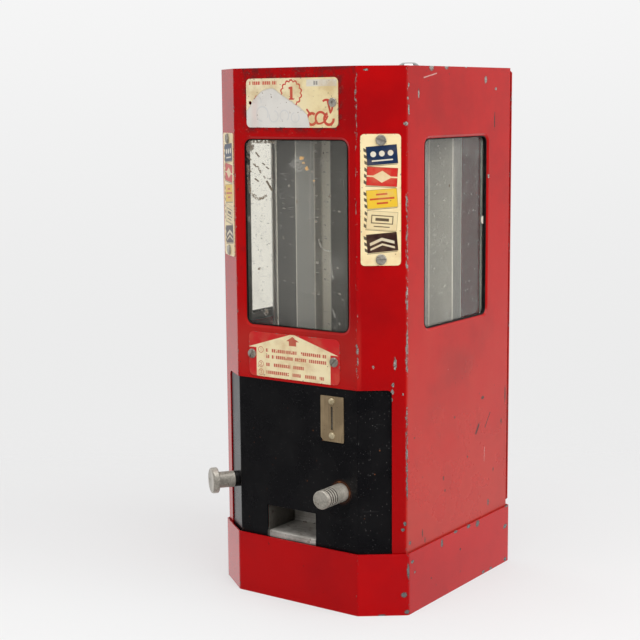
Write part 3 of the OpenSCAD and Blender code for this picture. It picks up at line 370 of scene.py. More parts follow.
# %% Enamel builder
def enamel(name, colour, dark, folds, levels=(), bands=(), knocks=(), marks=(), wear=215,
           on_top=None):
    material, place = new_finish(name, IOR=1.5)
    x, y, height = parts(place)
    edge = fold_wear(x, y, height, folds, bands, wear)
    for level in levels:
        edge = most(edge, times(size_of(minus(height, level)), -wear))
    upward = size_of(parts(add("NewGeometry").outputs["True Normal"])[2])
    edge = minus(edge, times(step(upward, 0.5, 0.9), 0.16))
    grain, patches = noise(where((1, 1, 0.3)), 820, 5, 0.7), noise(place, 60, 3)
    score = plus(times(grain, 0.9), times(patches, 0.4), edge)
    chips, rim = step(score, 0.778, 0.788), step(score, 0.742, 0.778)
    shake = ragged(place, 900, 2)
    if knocks:
        gap = plus(nearest_spot(place, knocks), shake)
        chips = most(chips, below(gap, 0.92, 0.08))
        rim = most(rim, below(gap, 1.12, 0.14))
    tall = vector("MULTIPLY", shaken(place, 700, 0.0035), (1, 1, 0.6))
    chips = most(chips, specks(tall, 36, 0.03, 0.45))
    cloud = noise(place, 13, 4, 0.6)
    grit, nicks = step(noise(place, 520, 2), 0.72, 0.76), specks(tall, 78, 0.046, 0.65)
    paint = coats(mix(step(cloud, 0.4, 0.72), colour, dark), (grit, 0.6, (0.06, 0.01, 0.008)),
                  (nicks, 0.8, (0.05, 0.012, 0.01)))
    if marks:
        spots = below(plus(nearest_spot(place, marks), shake), 1.15, 0.12)
        paint = mix(spots, paint, (0.032, 0.012, 0.01))
    paint = coats(paint, (rim, 0.7, (0.07, 0.02, 0.016)))
    tone = step(noise(place, 1300, 3, 0.75), 0.4, 0.6)
    metal_tone = mix(step(height, 0.06, 0.24),
                     mix(tone, (0.05, 0.062, 0.062), (0.22, 0.24, 0.235)),
                     mix(tone, (0.075, 0.058, 0.05), (0.5, 0.46, 0.42)))
    rough = plus(times(cloud, 0.1), times(chips, 0.3), 0.12)
    if on_top:
        paint, rough = on_top(paint, rough)
    plug(Base_Color=mix(chips, paint, metal_tone), Roughness=rough, Metallic=times(chips, 0.12))
    bump(minus(times(noise(place, 420, 2), 0.03), chips), 0.00011)
    return material


cabinet_top, base_top = 0.457, 0.0535
base_paint = enamel("base_enamel", (0.47, 0.0016, 0.003), (0.4, 0.001, 0.003), base_folds,
                    [0, base_top], base_bands, base_knocks, base_marks)
finishes["hinge_paint"] = enamel("hinge_enamel", (0.4, 0.003, 0.005), (0.28, 0.002, 0.005),
                                 cabinet_folds, wear=60)
print("enamel made for the base and the hinges")

# %% [markdown]
# The cabinet gets more on top: grime that has crept round the name plate and under the top edge,
# pale scuffs in it, a dusty bloom on the lower front, a painted sheen on the right side that is
# lighter towards the bottom, painted shade low on the right corner face, and drawn scratches on
# the right side. Each is kept to its own face with a step on x or y.

# %% Cabinet paint
name_plate_centre = (-0.00135, -0.1015, 0.42805)


def in_plane(origin, direction):
    """Distance along direction from origin, and height above origin, in millimetres."""
    moved = vector("SUBTRACT", here(), origin)
    return times(dot(moved, direction), 1000), times(parts(moved)[2], 1000)


def cabinet_grime(paint, rough):
    place = where()
    x, y, height = parts(place)
    front = below(y, -0.0995, 0.0008)
    u, v = in_plane(name_plate_centre, (1, 0, 0))
    rim_gap = most(minus(size_of(u), 46.6), minus(size_of(v), 20.2))
    creep = most(below(rim_gap, 3.4, 3.4), times(step(height, 0.446, 0.456), 0.8))
    grime = times(creep, step(noise(place, 120, 5, 0.7), 0.44, 0.6), front, 0.72)
    scuffs = step(noise(where((1, 1, 1.6)), 380, 4, 0.7), 0.62, 0.68)
    # Dust below the window on the front, and on the right side a painted sheen that is lighter
    # towards the bottom.
    dust_and_sheen = most(times(front, inside(height, 0.2, 0.245, 0.02), 0.07),
                 times(step(x, 0.094, 0.095), 0.1, minus(1.3, step(height, 0.05, 0.4))))
    dust_and_sheen = times(dust_and_sheen, plus(noise(place, 34, 3), 0.4))
    # Painted shade: the right corner face is darkened towards the bottom.
    corner = times(step(x, 0.064, 0.0655), below(y, -0.0775, 0.0008),
                   minus(1, step(height, 0.1, 0.38)))
    smudge = step(noise(place, 45, 3), 0.62, 0.75)
    side_flat = flat_point(*in_plane((0, 0, 0), (0, 1, 0)))
    right_face, rough_line = step(x, 0.0945, 0.095), ragged(place, 900, 0.9)
    dark, pale = (times(strokes(side_flat, lines, rough_line, 0.2), right_face)
                  for lines in (dark_scratches, pale_scratches))
    paint = coats(
        paint, (grime, (0.055, 0.008, 0.008)),
        (scuffs, below(rim_gap, 8, 4), front, 0.45, (0.3, 0.17, 0.13)),
        (dust_and_sheen, (0.52, 0.22, 0.14)), (corner, 0.5, (0.26, 0.0004, 0.0012)),
        (smudge, front, 0.35, (0.1, 0.006, 0.012)), (dark, (0.045, 0.018, 0.015)),
        (pale, 0.7, (0.6, 0.42, 0.38)))
    return paint, plus(rough, times(grime, 0.25), dust_and_sheen)


finishes["cabinet_paint"] = enamel(
    "cabinet_enamel", (0.46, 0.0012, 0.0022), (0.35, 0.0008, 0.0024), cabinet_folds,
    [cabinet_top], cabinet_bands, cabinet_knocks, cabinet_marks, on_top=cabinet_grime)
print("cabinet enamel made")

# %% [markdown]
# The mechanism panel is satin black, with pale dust and a few rust-brown grains, thickest to the
# right of the coin slot, and a dark rusty ring where the plunger runs through it. The dust is dots
# in random cells, and the ring is a distance from the plunger's axis.

# %% Panel paint
plunger_axis = (0.0448, 0, 0.1042)


def from_axis(place, axis):
    return between(vector("MULTIPLY", place, (1, 0, 1)), axis)


def panel_black():
    material, place = new_finish("panel_black", IOR=1.42)
    dusty = plus(times(step(parts(place)[0], -0.02, 0.05), 0.7), 0.3)
    clouds = noise(place, 30, 3)
    thick = plus(times(step(clouds, 0.38, 0.62), 0.7), 0.3)
    dust = most(specks(place, 640, 0.2, 0.16), times(specks(place, 360, 0.13, 0.14), 0.7),
                times(specks(place, 180, 0.07, 0.07), 0.8))
    amount = times(dust, dusty, thick, 0.5)
    rust = times(specks(place, 300, 0.17, 0.035), dusty)
    ring = below(plus(from_axis(place, plunger_axis), ragged(place, 500, 0.002)), 0.0108, 0.001)
    hair = step(noise(where((30, 30, 700), (0, 0.9, 0)), 1, 1), 0.74, 0.78)
    black = mix(step(clouds, 0.35, 0.75), (0.0052, 0.005, 0.006), (0.0088, 0.0084, 0.0092))
    colour = coats(black, (amount, (0.24, 0.23, 0.22)), (rust, 0.8, (0.24, 0.08, 0.025)),
                   (ring, 0.75, (0.03, 0.01, 0.006)), (hair, 0.12, grey(0.12)))
    plug(Base_Color=colour, Roughness=plus(times(clouds, 0.16), times(amount, 0.3), 0.2))
    bump(plus(dust, times(noise(place, 800), 0.3)), 0.00004)
    return material


finishes["panel_paint"] = panel_black()
print("panel black made")

# %% [markdown]
# The panes are old window glass, clear with a warm tinge, and what makes them visible is dirt:
# there the transmission goes down and the surface turns dull. Glass in a render throws a black
# shadow, because lamps are not seen through a refracting surface. Real panes let the light in, so
# for shadow rays alone they are nearly transparent.

# %% Window glass
# dots in a metre, their size and share of the cells, and how far they hide the glass
pane_dust = [(310, 0.1, 0.1, 0.5), (120, 0.052, 0.18, 0.75), (40, 0.03, 0.22, 0.8)]


def dirty_glass(name, stains=None):
    material, place = new_finish(name, IOR=1.46)
    x, y, height = parts(shaken(place, 900, 0.0012))
    sheet = flat_point(plus(x, y), height)
    dust = most(*[times(specks(sheet, scale, size, share, "2D"), strength)
                  for scale, size, share, strength in pane_dust])
    hairs = times(step(noise(where((40, 40, 900), (0.3, 0.7, 0.2)), 1, 1), 0.72, 0.76), 0.07)
    tide_marks = times(inside(noise(place, 120, 2), 0.655, 0.668, 0.006), 0.16)
    film = times(step(noise(place, 22, 4), 0.42, 0.8), 0.055)
    dirt = most(dust, hairs, tide_marks, film, 0.012)
    soil = mix(step(dirt, 0.1, 0.34), (0.42, 0.41, 0.37), (0.11, 0.072, 0.035))
    if stains:
        stain, stain_colour = stains(place)
        soil = mix(step(stain, 0.02, 0.3), soil, stain_colour)
        dirt = most(dirt, stain)
    lets_lamps_in = times(add("LightPath").outputs["Is Shadow Ray"],
                          minus(1, times(dirt, 0.9)), 0.76)
    plug(Base_Color=mix(dirt, (1, 0.985, 0.925), soil),
         Transmission_Weight=minus(1, dirt), Alpha=minus(1, lets_lamps_in),
         Roughness=plus(times(film, 0.3), times(dirt, noise(place, 900, 2), 0.8)))
    return material


finishes["window_glass"] = dirty_glass("pane_glass")
print("side panes made")

# %% [markdown]
# A sticker was scraped off the front pane at the top left. It left brown strokes that all run the
# same way, a ragged arc below them and crumbs in the corner. There are gold flecks at the top and
# the faint rim of a wet glass at the right. All are strokes, spots and arcs in the plane of the
# pane, in millimetres, with noise on their edges.

# %% Stains on the front pane
def flat_spots(rows):
    """Spots for nearest_spot from rows of place and half size in the plane."""
    return [((u, v, 0), (half_u, half_v, 1)) for u, v, half_u, half_v in rows]


scraped = [
    ((-41.6, 386.7), (-38.4, 383.1), 0.5), ((-34.5, 377.9), (-32.5, 376.4), 0.5),
    ((-30.5, 374.8), (-28.6, 373.3), 0.5), ((-44.5, 377.2), (-41.2, 374.6), 0.45),
    ((-39.8, 375.2), (-36.6, 369.4), 0.45), ((-33.3, 366.9), (-32.1, 364.8), 0.4),
    ((-30.4, 362.7), (-25.3, 355.5), 0.85), ((-53.2, 378.1), (-47.3, 370.3), 0.5),
    ((-52.4, 385), (-47.1, 380.3), 0.4), ((-42.7, 364.6), (-39.4, 362.5), 0.6)]
arc_points = [
    (-50.1, 364.9), (-49.2, 358), (-48.3, 352.7), (-44.3, 349.7), (-40.4, 347.7), (-35, 348.4),
    (-31.6, 350.6)]
fine_scratches = [
    ((36.5, 258), (38.8, 252), 0.3), ((42.8, 247.6), (43.4, 246.4), 0.4),
    ((34.6, 297), (36.8, 284), 0.25)]
crumbs = flat_spots([
    (-48.2, 392.6, 4.6, 6.4), (-30, 396.5, 7, 1.8), (-50.5, 372, 1.6, 5), (-33, 251, 2.4, 3),
    (-49.5, 330, 1.5, 1.9), (-40, 288, 1.2, 1.3), (-27, 300, 1, 1.3), (34, 352, 1.6, 1.6),
    (20, 331, 1.2, 1.5), (-14, 316, 1.2, 1.6)])
flecks = flat_spots([
    (5.8, 382.8, 2.4, 1.5), (11, 374.4, 2, 1.8), (7.6, 378.8, 1.2, 1), (18.2, 364.2, 0.7, 0.8)])


def arc(flat, centre, radius, width, middle, spread, soft=0.12):
    """Part of a ring: spread degrees to each side of the direction middle."""
    moved = vector("SUBTRACT", flat, (*centre, 0))
    heading, edge = dot(vector("NORMALIZE", moved), (*cos_sin(middle), 0)), cos_sin(spread)[0]
    return times(inside(length_of(moved), radius - width / 2, radius + width / 2, soft),
                 step(heading, edge - 0.01, edge + 0.01))


def front_pane_stains(place):
    u, v = in_plane((0, 0, 0), (1, 0, 0))
    flat = flat_point(u, v)
    rough = ragged(place, 620, 2.2)
    patchy = step(noise(place, 560, 4, 0.7), 0.47, 0.53)
    drawn = strokes(flat, [(a, b, 0.7 * half) for a, b, half in scraped],
                    ragged(place, 900, 1.4), 0.1)
    bow = strokes(flat, [(a, b, 1.1) for a, b in zip(arc_points, arc_points[1:])],
                  times(rough, 2.2), 0.15)
    crumb = below(plus(nearest_spot(flat, crumbs), rough), 0.9, 0.2)
    shelf = times(inside(plus(v, rough), 394.6, 400, 0.6), inside(u, -54, -20, 2))
    wet_ring = arc(flat, (32, 316), 9, 0.8, 230, 52, 0.4)
    # A faint brown patch round the gold flecks.
    dark_patch = below(nearest_spot(flat, flat_spots([(2, 377, 9, 7)])), 0.8, 0.5)
    brown = most(times(drawn, 0.92), times(bow, patchy, 0.95), times(crumb, patchy, 0.9),
                 times(shelf, patchy, 0.9), times(wet_ring, patchy, 0.45),
                 times(strokes(flat, fine_scratches, 0, 0.2), 0.5), times(dark_patch, patchy, 0.18))
    gold = below(plus(nearest_spot(flat, flecks), rough), 0.9, 0.15)
    return most(brown, times(gold, 0.9)), mix(gold, (0.13, 0.08, 0.03), (0.74, 0.4, 0.09))


front_pane_glass = dirty_glass("front_pane_glass", front_pane_stains)
print("front pane made, with", len(scraped) + len(arc_points) + len(flecks), "stains")

# %% [markdown]
# The other metals differ in a few ways only, so one builder makes them from short rows: a light
# tone, a dark one and a stain that gathers in patches, how much is stained, how dull it is, and
# where needed how metallic, and the stretch of its grain.

# %% Bare and plated metals
def metal(name, light, dark, stain, stained, dull, metallic=1, grain=(1, 1, 1)):
    material, place = new_finish(name)
    lines = noise(where(grain), 700, 3)
    patches = step(noise(place, 130, 5, 0.65), 0.64 - stained, 0.74 - stained)
    pits = specks(place, 520, 0.16, 0.1)
    tone = step(plus(times(noise(place, 60, 3), 0.6), times(lines, 0.4)), 0.36, 0.64)
    stains = most(times(patches, 0.85), times(pits, 0.7))
    plug(Base_Color=mix(stains, mix(tone, dark, light), stain),
         Metallic=times(minus(1, times(patches, 0.8)), metallic),
         Roughness=plus(times(lines, 0.18), times(patches, 0.25), dull))
    bump(minus(plus(lines, patches), pits), 0.00002)
    return material


metal_rows = {
    "nickel": ((0.6, 0.56, 0.49), (0.33, 0.305, 0.26), (0.1, 0.07, 0.04), 0.05, 0.26, 0.45),
    "bronze": ((0.5, 0.33, 0.13), (0.3, 0.18, 0.07), (0.1, 0.06, 0.03), 0.02, 0.3),
    "rusty_steel": ((0.12, 0.045, 0.02), (0.05, 0.02, 0.012), (0.22, 0.07, 0.02), 0.1, 0.5, 0.4),
    "plate_bronze": ((0.37, 0.27, 0.155), (0.25, 0.18, 0.1), (0.09, 0.055, 0.03), -0.02, 0.36,
                     0.25, (1, 1, 0.05)),
    "screw_brass": ((0.72, 0.62, 0.42), (0.46, 0.37, 0.22), (0.18, 0.11, 0.05), -0.03, 0.26, 0.4),
    "zinc_steel": ((0.7, 0.69, 0.64), (0.36, 0.35, 0.33), (0.13, 0.09, 0.06), 0.02, 0.3, 0.2),
    "black_oxide": ((0.02, 0.018, 0.017), (0.008, 0.007, 0.007), (0.06, 0.03, 0.02), -0.04, 0.34,
                    0.3),
    "tray_steel": ((0.66, 0.63, 0.58), (0.36, 0.335, 0.3), (0.12, 0.065, 0.032), 0.05, 0.32, 0.35,
                   (0.06, 1, 1)),
    "ground_steel": ((0.55, 0.55, 0.54), grey(0.36), (0.16, 0.1, 0.06), -0.03, 0.24),
    "spring_steel": ((0.2, 0.2, 0.21), grey(0.1), (0.1, 0.05, 0.02), 0, 0.34),
    "chrome": ((0.72, 0.72, 0.71), (0.55, 0.55, 0.54), (0.3, 0.28, 0.24), -0.05, 0.1)}
for slot_name, row in metal_rows.items():
    finishes[slot_name] = metal(slot_name + "_finish", *row)
print(len(metal_rows), "metals made")

# %% [markdown]
# The turned grooves of the plunger knob are painted near black, and the left wall of the
# delivery tray is painted dark brown. Both take their metal as it is and lay a darker tone over
# it, by the distance from an axis and by a step on x.

# %% Dark tones in the grooves and in the tray
def over_metal(mask, tone):
    base = shader().inputs["Base Color"].links[0].from_socket
    plug(Base_Color=mix(mask, base, tone))


def knob_with_grooves():
    material = metal("plunger_finish", *metal_rows["nickel"])
    low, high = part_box("plunger_knob")
    place = where()
    axis = ((high[0] + low[0]) / 2, 0, (high[2] + low[2]) / 2)
    gap = minus((high[0] - low[0]) / 2 - 0.00008, from_axis(place, axis))
    behind_face = step(parts(place)[1], low[1] + 0.002, low[1] + 0.0024)
    # The grooves are painted near black.
    over_metal(times(step(gap, 0, 0.00025), behind_face, 0.93), (0.035, 0.027, 0.02))
    return material


def darkened_tray():
    material = metal("tray_finish", *metal_rows["tray_steel"])
    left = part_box("delivery_tray")[0][0]
    x = parts(where())[0]
    # The left wall of the tray is painted dark brown, fading a few millimetres beyond it.
    stain = most(below(x, left + 0.0025, 0.0006), times(below(x, left + 0.008, 0.004), 0.3))
    over_metal(times(stain, 0.85), (0.035, 0.028, 0.02))
    return material


plunger_finish, tray_finish = knob_with_grooves(), darkened_tray()
print("plunger and tray finished")

# %% [markdown]
# Inside, the channels and sheet parts are steel with thin grey-green paint, chalky from dust.
# Packs that slide past leave bright upright scratches and a few rust flecks. In each channel the
# side walls are painted pale as painted light, with a painted lit strip on the back wall next to
# one side wall. The rest of the back wall, the outer faces of the side walls and the flanges are
# painted dark as painted shade, darkest on the flanges of the first channel, and the flange edges
# and folds get painted highlights. The zones are told apart by the distance out of the shaft and
# across the channel.

# %% Painted steel inside
rest_angle, column_pitch = 4, 72


def channel_zones(place, number, colour):
    c, s = cos_sin(rest_angle + column_pitch * number)
    reach, across = dot(place, (c, s, 0)), dot(place, (-s, c, 0))
    aside, outward = size_of(across), step(reach, 0.0764, 0.0768)
    back_wall = below(reach, 0.054, 0.0004)
    flange = times(outward, step(aside, 0.0236, 0.0242))
    outer = times(step(aside, 0.0234, 0.0236), minus(1, flange))
    edges = most(step(aside, 0.0396, 0.04), times(outward, below(aside, 0.0244, 0.0003)))
    drift = noise(place, 34, 3)
    # The first channel's flanges get deeper painted shade.
    flange_shade = 0.55 if number == 0 else 1
    shaded_flange_tones = [tuple(flange_shade * v for v in tone)
            for tone in ((0.14, 0.145, 0.15), (0.205, 0.205, 0.2))]
    # Painted light and shade: pale side walls, a lit strip on the back wall, a dark back wall,
    # dark outer faces and flanges, and painted highlights along the flange edges and folds.
    return coats(
        colour, (0.85, mix(drift, (0.62, 0.605, 0.52), (0.74, 0.725, 0.64))),
        (outer, 0.9, (0.215, 0.215, 0.23)), (back_wall, 0.95, (0.045, 0.044, 0.04)),
        (back_wall, below(across, -0.0155, 0.0006), (0.86, 0.84, 0.76)),
        (flange, 0.95, mix(drift, *shaded_flange_tones)), (edges, 0.8, (0.62, 0.6, 0.54)))


def inner_paint(name, light, dark, worn, number=None):
    material, place = new_finish(name, Specular_IOR_Level=0.35)
    streaks = noise(where((1, 1, 0.03)), 420, 3)
    dots = specks(where((1, 1, 0.5)), 150, 0.11, 0.16)
    rust = step(noise(place, 210, 5, 0.7), 0.66, 0.72)
    colour = mix(noise(place, 24, 4), dark, light)
    if number is not None:
        colour = channel_zones(place, number, colour)
    colour = coats(colour, (step(streaks, 0.56, 0.72), worn, (0.5, 0.49, 0.45)),
                   (most(dots, times(rust, 0.5)), 0.8, (0.15, 0.09, 0.045)))
    plug(Base_Color=colour, Roughness=plus(times(streaks, 0.3), 0.35))
    bump(plus(streaks, dots), 0.00003)
    return material


channel_tones = (0.42, 0.41, 0.36), (0.3, 0.3, 0.27)
finishes["column_steel"] = inner_paint("channel_paint", *channel_tones, 0.4)
finishes["frame_steel"] = inner_paint("sheet_paint", (0.3, 0.31, 0.29), (0.19, 0.2, 0.19), 0.3)
channel_paints = [inner_paint("channel_paint_" + str(number + 1), *channel_tones, 0.22, number)
                  for number in range(5)]
print("inner paint made, and one for each of", len(channel_paints), "channels")

# %% [markdown]
# The gasket is black rubber that has gone dull, with pale dust in its pores.

# %% Rubber
def rubber():
    material, place = new_finish("gasket_rubber_finish", Specular_IOR_Level=0.3)
    pores = noise(place, 1500, 3)
    perished = step(noise(place, 90, 4), 0.5, 0.75)
    black = mix(step(pores, 0.55, 0.8), grey(0.006), (0.05, 0.048, 0.045))
    plug(Base_Color=coats(black, (perished, 0.4, (0.045, 0.04, 0.033))),
         Roughness=plus(times(pores, 0.3), 0.55))
    bump(pores, 0.00005)
    return material


finishes["gasket_rubber"] = rubber()
print("rubber made")

# %% [markdown]
# The plates are printed enamel on thin sheet. Ink has no thickness, so it is drawn in the finish:
# a shape is a product of soft steps on two coordinates that lie in the plate, in millimetres. Rows
# of small bars give the tone of lines of print.

# %% Print helpers
plate_gloss = {"Coat_Weight": 0.2, "Coat_Roughness": 0.2}


def turned_axes(u, v, centre, angle):
    c, s = cos_sin(angle)
    moved = vector("SUBTRACT", flat_point(u, v), (*centre, 0))
    return dot(moved, (c, s, 0)), dot(moved, (-s, c, 0))


def block(u, v, centre, size, angle=0):
    p, q = turned_axes(u, v, centre, angle)
    return times(below(size_of(p), size[0] / 2, 0.12), below(size_of(q), size[1] / 2, 0.12))


def frame_line(u, v, centre, size, width):
    inner = (size[0] - 2 * width, size[1] - 2 * width)
    return times(block(u, v, centre, size), minus(1, block(u, v, centre, inner)))


def disc(u, v, centre, radius, width=None):
    """A disc, or with a width only its rim."""
    return inside(between(flat_point(u, v), (*centre, 0)), radius - width if width else -1, radius)


def bars(u, v, left, right, level, tall, pitch, words):
    """A row of short upright bars, broken into lengths like words."""
    row = times(inside(u, left, right), below(size_of(minus(v, level)), tall / 2, 0.15))
    comb = step(calc("SINE", times(u, 2 * math.pi / pitch)), -0.92, -0.45)
    shifted = vector("ADD", flat_point(u, 0), (words * 7.3, level, 0))
    return times(row, comb, step(noise(shifted, 0.16, 1), 0.4, 0.42))


def worn_rim(u, v, size, place, bite=0.57):
    """Chips that eat into a plate from its rim."""
    gap = least(minus(size[0] / 2, size_of(u)), minus(size[1] / 2, size_of(v)))
    return step(minus(noise(place, 430, 4, 0.62), times(gap, 0.1)), bite, bite + 0.03)


def aged_print(colour, base, spots, rim):
    """Warm clouds, rust specks and a worn rim over a print, then the gloss."""
    place = where()
    rust = most(specks(place, 330, 0.16, spots), specks(place, 150, 0.1, spots),
                step(noise(place, 260, 4, 0.7), 0.71 - spots / 4, 0.75))
    cloud = noise(place, 70, 4, 0.6)
    bright = add("RGBToBW", {0: colour}).outputs[0]
    faded = plus(times(step(bright, 0.05, 0.4), 0.42), 0.08)
    bare = mix(noise(place, 500, 2), (0.07, 0.055, 0.045), (0.42, 0.39, 0.34))
    colour = coats(colour, (step(cloud, 0.42, 0.7), faded, base),
                   (rust, 0.75, (0.16, 0.08, 0.035)), (rim, 0.9, bare))
    plug(Base_Color=colour, Roughness=plus(times(cloud, 0.2), times(most(rust, rim), 0.3), 0.24))
    bump(minus(times(rust, 0.5), rim), 0.00004)


print("print helpers ready")

# %% [markdown]
# The name plate is cream with a large patch where its top coat came away down to a pale grey
# ground. The outline of the patch is a list of points, which a curve node turns into a height over
# the width. The print is a scalloped red badge with a plain 1, and scrolls of thick and thin arcs,
# whose faint ghosts show in the bare patch.

# %% Name plate
patch_top = [
    (-46.6, -7), (-42.9, -2.8), (-39.1, 2.9), (-31.7, 8.6), (-25.4, 11.3), (-19.1, 12),
    (-12.9, 8.6), (-6.7, 4.8), (2, -0.2), (8.9, -3.9), (15.8, -9.4), (18.2, -15.6), (18.9, -24)]
scrolls = [
    ((20.8, -13.2), 4.6, 2.2, 200, 150), ((29.6, -12.6), 5, 2, 120, 118),
    ((37.8, -13.2), 4.6, 2.3, 235, 130), ((35.4, -3.6), 5.8, 1.8, 40, 88),
    ((27.6, -7.4), 9.6, 1.5, 300, 42)]
ghosts = [
    ((-30, -9), 6, 1.2, 120, 150), ((-18, -11), 4.6, 1, 300, 140),
    ((-7, -10.5), 4.4, 1.1, 100, 150), ((4, -12), 4, 0.9, 250, 150), ((-36, 1), 5, 1, 60, 70)]


def height_curve(u, points):
    """Height in millimetres over u from -50 to 50, through a list of points."""
    node = add("FloatCurve", {"Value": times(plus(u, 50), 0.01)})
    curve = node.mapping.curves[0]
    ends = [(-50, points[0][1]), *points, (50, points[-1][1])]
    while len(curve.points) < len(ends):
        curve.points.new(0.5, 0.5)
    for spot, (across, height) in zip(curve.points, ends):
        spot.location = ((across + 50) / 100, (height + 30) / 60)
        spot.handle_type = "VECTOR"
    node.mapping.update()
    return minus(times(node.outputs[0], 60), 30)


def badge(u, v, centre):
    moved = vector("SUBTRACT", flat_point(u, v), (*centre, 0))
    du, dv, _ = parts(moved)
    angle = calc("ARCTAN2", dv, du)
    wave = times(size_of(calc("SINE", times(angle, 7))), 1.5)
    reach = minus(length_of(moved), wave)
    edge = inside(reach, 8.5, 9.9)
    one = most(block(u, v, (centre[0] + 0.2, centre[1]), (2.7, 10.6)),
               block(u, v, (centre[0] - 1.5, centre[1] + 4.2), (2.2, 1.6), 25),
               block(u, v, (centre[0] + 0.2, centre[1] - 4.8), (5.2, 1.3)))
    return most(edge, one)


def name_plate_finish():
    material, place = new_finish("name_plate_enamel", **plate_gloss)
    u, v = in_plane(name_plate_centre, (1, 0, 0))
    flat = flat_point(u, v)
    low = minus(plus(height_curve(u, patch_top), ragged(place, 260, 2.4)), v)
    patch = step(low, -0.15, 0.15)
    cream = mix(step(plus(u, ragged(place, 60, 60)), -30, 30), (0.92, 0.81, 0.55),
                (0.9, 0.75, 0.43))
    tail = strokes(flat, [((39.3, -8), (36.6, 1.4), 0.9), ((16, -5.6), (19.4, -9.6), 0.8),
                          ((-38.8, -1), (-36.2, 5.4), 1)])
    heading = bars(u, v, -43.4, -14.9, 16.5, 2.9, 1.9, 1)
    red_ink = most(badge(u, v, (0.1, 7.9)), tail, heading, *[arc(flat, *row) for row in scrolls])
    strip = block(plus(u, ragged(place, 400, 1.5)), v, (30.5, 16), (30, 5.6))
    stamped = bars(u, v, 20, 44, 15.9, 3.1, 2.3, 4)
    ghost = most(*[arc(flat, *row, soft=0.4) for row in ghosts])
    bare = coats(mix(noise(place, 45, 4), (0.72, 0.69, 0.64), (0.86, 0.83, 0.77)),
                 (ghost, 0.42, (0.56, 0.57, 0.58)),
                 (inside(u, -41, -35, 3), 0.25, (0.8, 0.45, 0.38)))
    colour = coats(cream, (red_ink, 0.93, (0.6, 0.014, 0.012)), (strip, 0.75, (0.74, 0.72, 0.68)),
                   (stamped, 0.65, (0.1, 0.1, 0.11)), (patch, bare),
                   (inside(low, -0.9, 0.7, 0.4), 0.35, (0.4, 0.36, 0.34)))
    spots = mix(patch, (0.56, 0.36, 0.13), (0.66, 0.62, 0.57))
    aged_print(colour, spots, 0.2, worn_rim(u, v, (93.3, 40.5), place))
    return material


finishes["name_enamel"] = name_plate_finish()
print("name plate printed")

# %% [markdown]
# The instruction plate is red with a cream field shaped like the end wall of a house, which points
# up at the window, and a small red arrow in its gable. Below stand three steps, each with its
# number in a ring and rows of small bars beside it.

# %% Instruction plate
step_rings = {"one": (-34.5, 4), "two": (-34.5, -8.4), "three": (-34.6, -15.5)}
digit_strokes = {
    "one": [(-0.5, 0.9), (0.1, 1.4), (0.1, -1.4)],
    "two": [(-0.8, 0.9), (0, 1.4), (0.8, 0.7), (-0.8, -1.3), (0.9, -1.3)],
    "three": [(-0.8, 1.3), (0.8, 1.3), (0, 0.2), (0.8, -0.6), (-0.1, -1.4), (-0.9, -1)]}
text_rows = [
    (-29.5, 33.8, 4, 1), (-29, 33.8, -1.4, 2), (-29, 10.9, -8.4, 3), (-29, 31.4, -15.1, 4)]


def instruction_plate_finish():
    material, place = new_finish("instruction_plate_enamel", **plate_gloss)
    u, v = in_plane((-0.002, -0.1015, 0.21475), (1, 0, 0))
    flat = flat_point(u, v)
    gable = below(plus(v, times(size_of(plus(u, 0.9)), 0.306)), 20, 0.15)
    house = most(times(gable, inside(v, 5.6, 30, 0.08)),
                 times(inside(u, -39.3, 38.2), inside(v, -19.5, 6), gable))
    head = times(below(plus(v, times(size_of(plus(u, 0.8)), 0.62)), 17.8, 0.12),
                 inside(v, 13.6, 22, 0.08))
    marks = [head, block(u, v, (-0.8, 11.8), (7.6, 4))]
    for name, (cu, cv) in step_rings.items():
        marks.append(disc(u, v, (cu, cv), 2.8, 0.5))
        ends = [(du + cu, dv + cv) for du, dv in digit_strokes[name]]
        marks.append(strokes(flat, [(a, b, 0.22) for a, b in zip(ends, ends[1:])], 0, 0.1))
    for left, right_end, level, words in text_rows:
        marks.append(bars(u, v, left, right_end, level, 2.9, 2.05, words))
    worn_out = below(noise(place, 300, 3), 0.66, 0.04)
    cream = mix(noise(place, 60, 3), (0.88, 0.73, 0.41), (0.92, 0.81, 0.54))
    colour = coats((0.6, 0.01, 0.012), (house, cream),
                   (most(*marks), worn_out, 0.92, (0.52, 0.035, 0.02)))
    rim = worn_rim(u, v, (94.6, 38.5), place, 0.56)
    aged_print(colour, (0.6, 0.36, 0.17), 0.06, rim)
    return material


finishes["red_enamel"] = instruction_plate_finish()
print("instruction plate printed")

# %% [markdown]
# Each corner plate shows what the machine sells: five slanted packs in plain colours. A pack is a
# turned block with a frame and stripes, dots, a chevron or a diamond on it, and a dashed dark side
# that gives it its thickness.

# %% Product plates
packs = [
    (386, 4.5, (0.01, 0.03, 0.085), (0.8, 0.74, 0.6), "dots"),
    (368.6, -3.5, (0.62, 0.015, 0.012), (0.84, 0.7, 0.42), "diamond"),
    (351, 4, (0.82, 0.52, 0.03), (0.55, 0.03, 0.02), "stripes"),
    (333.2, -4.5, (0.8, 0.66, 0.38), (0.06, 0.035, 0.02), "frame"),
    (315.4, 5, (0.038, 0.012, 0.012), (0.74, 0.66, 0.48), "chevron")]
pack_wide, pack_tall, plate_middle = 25, 15.2, 349.4


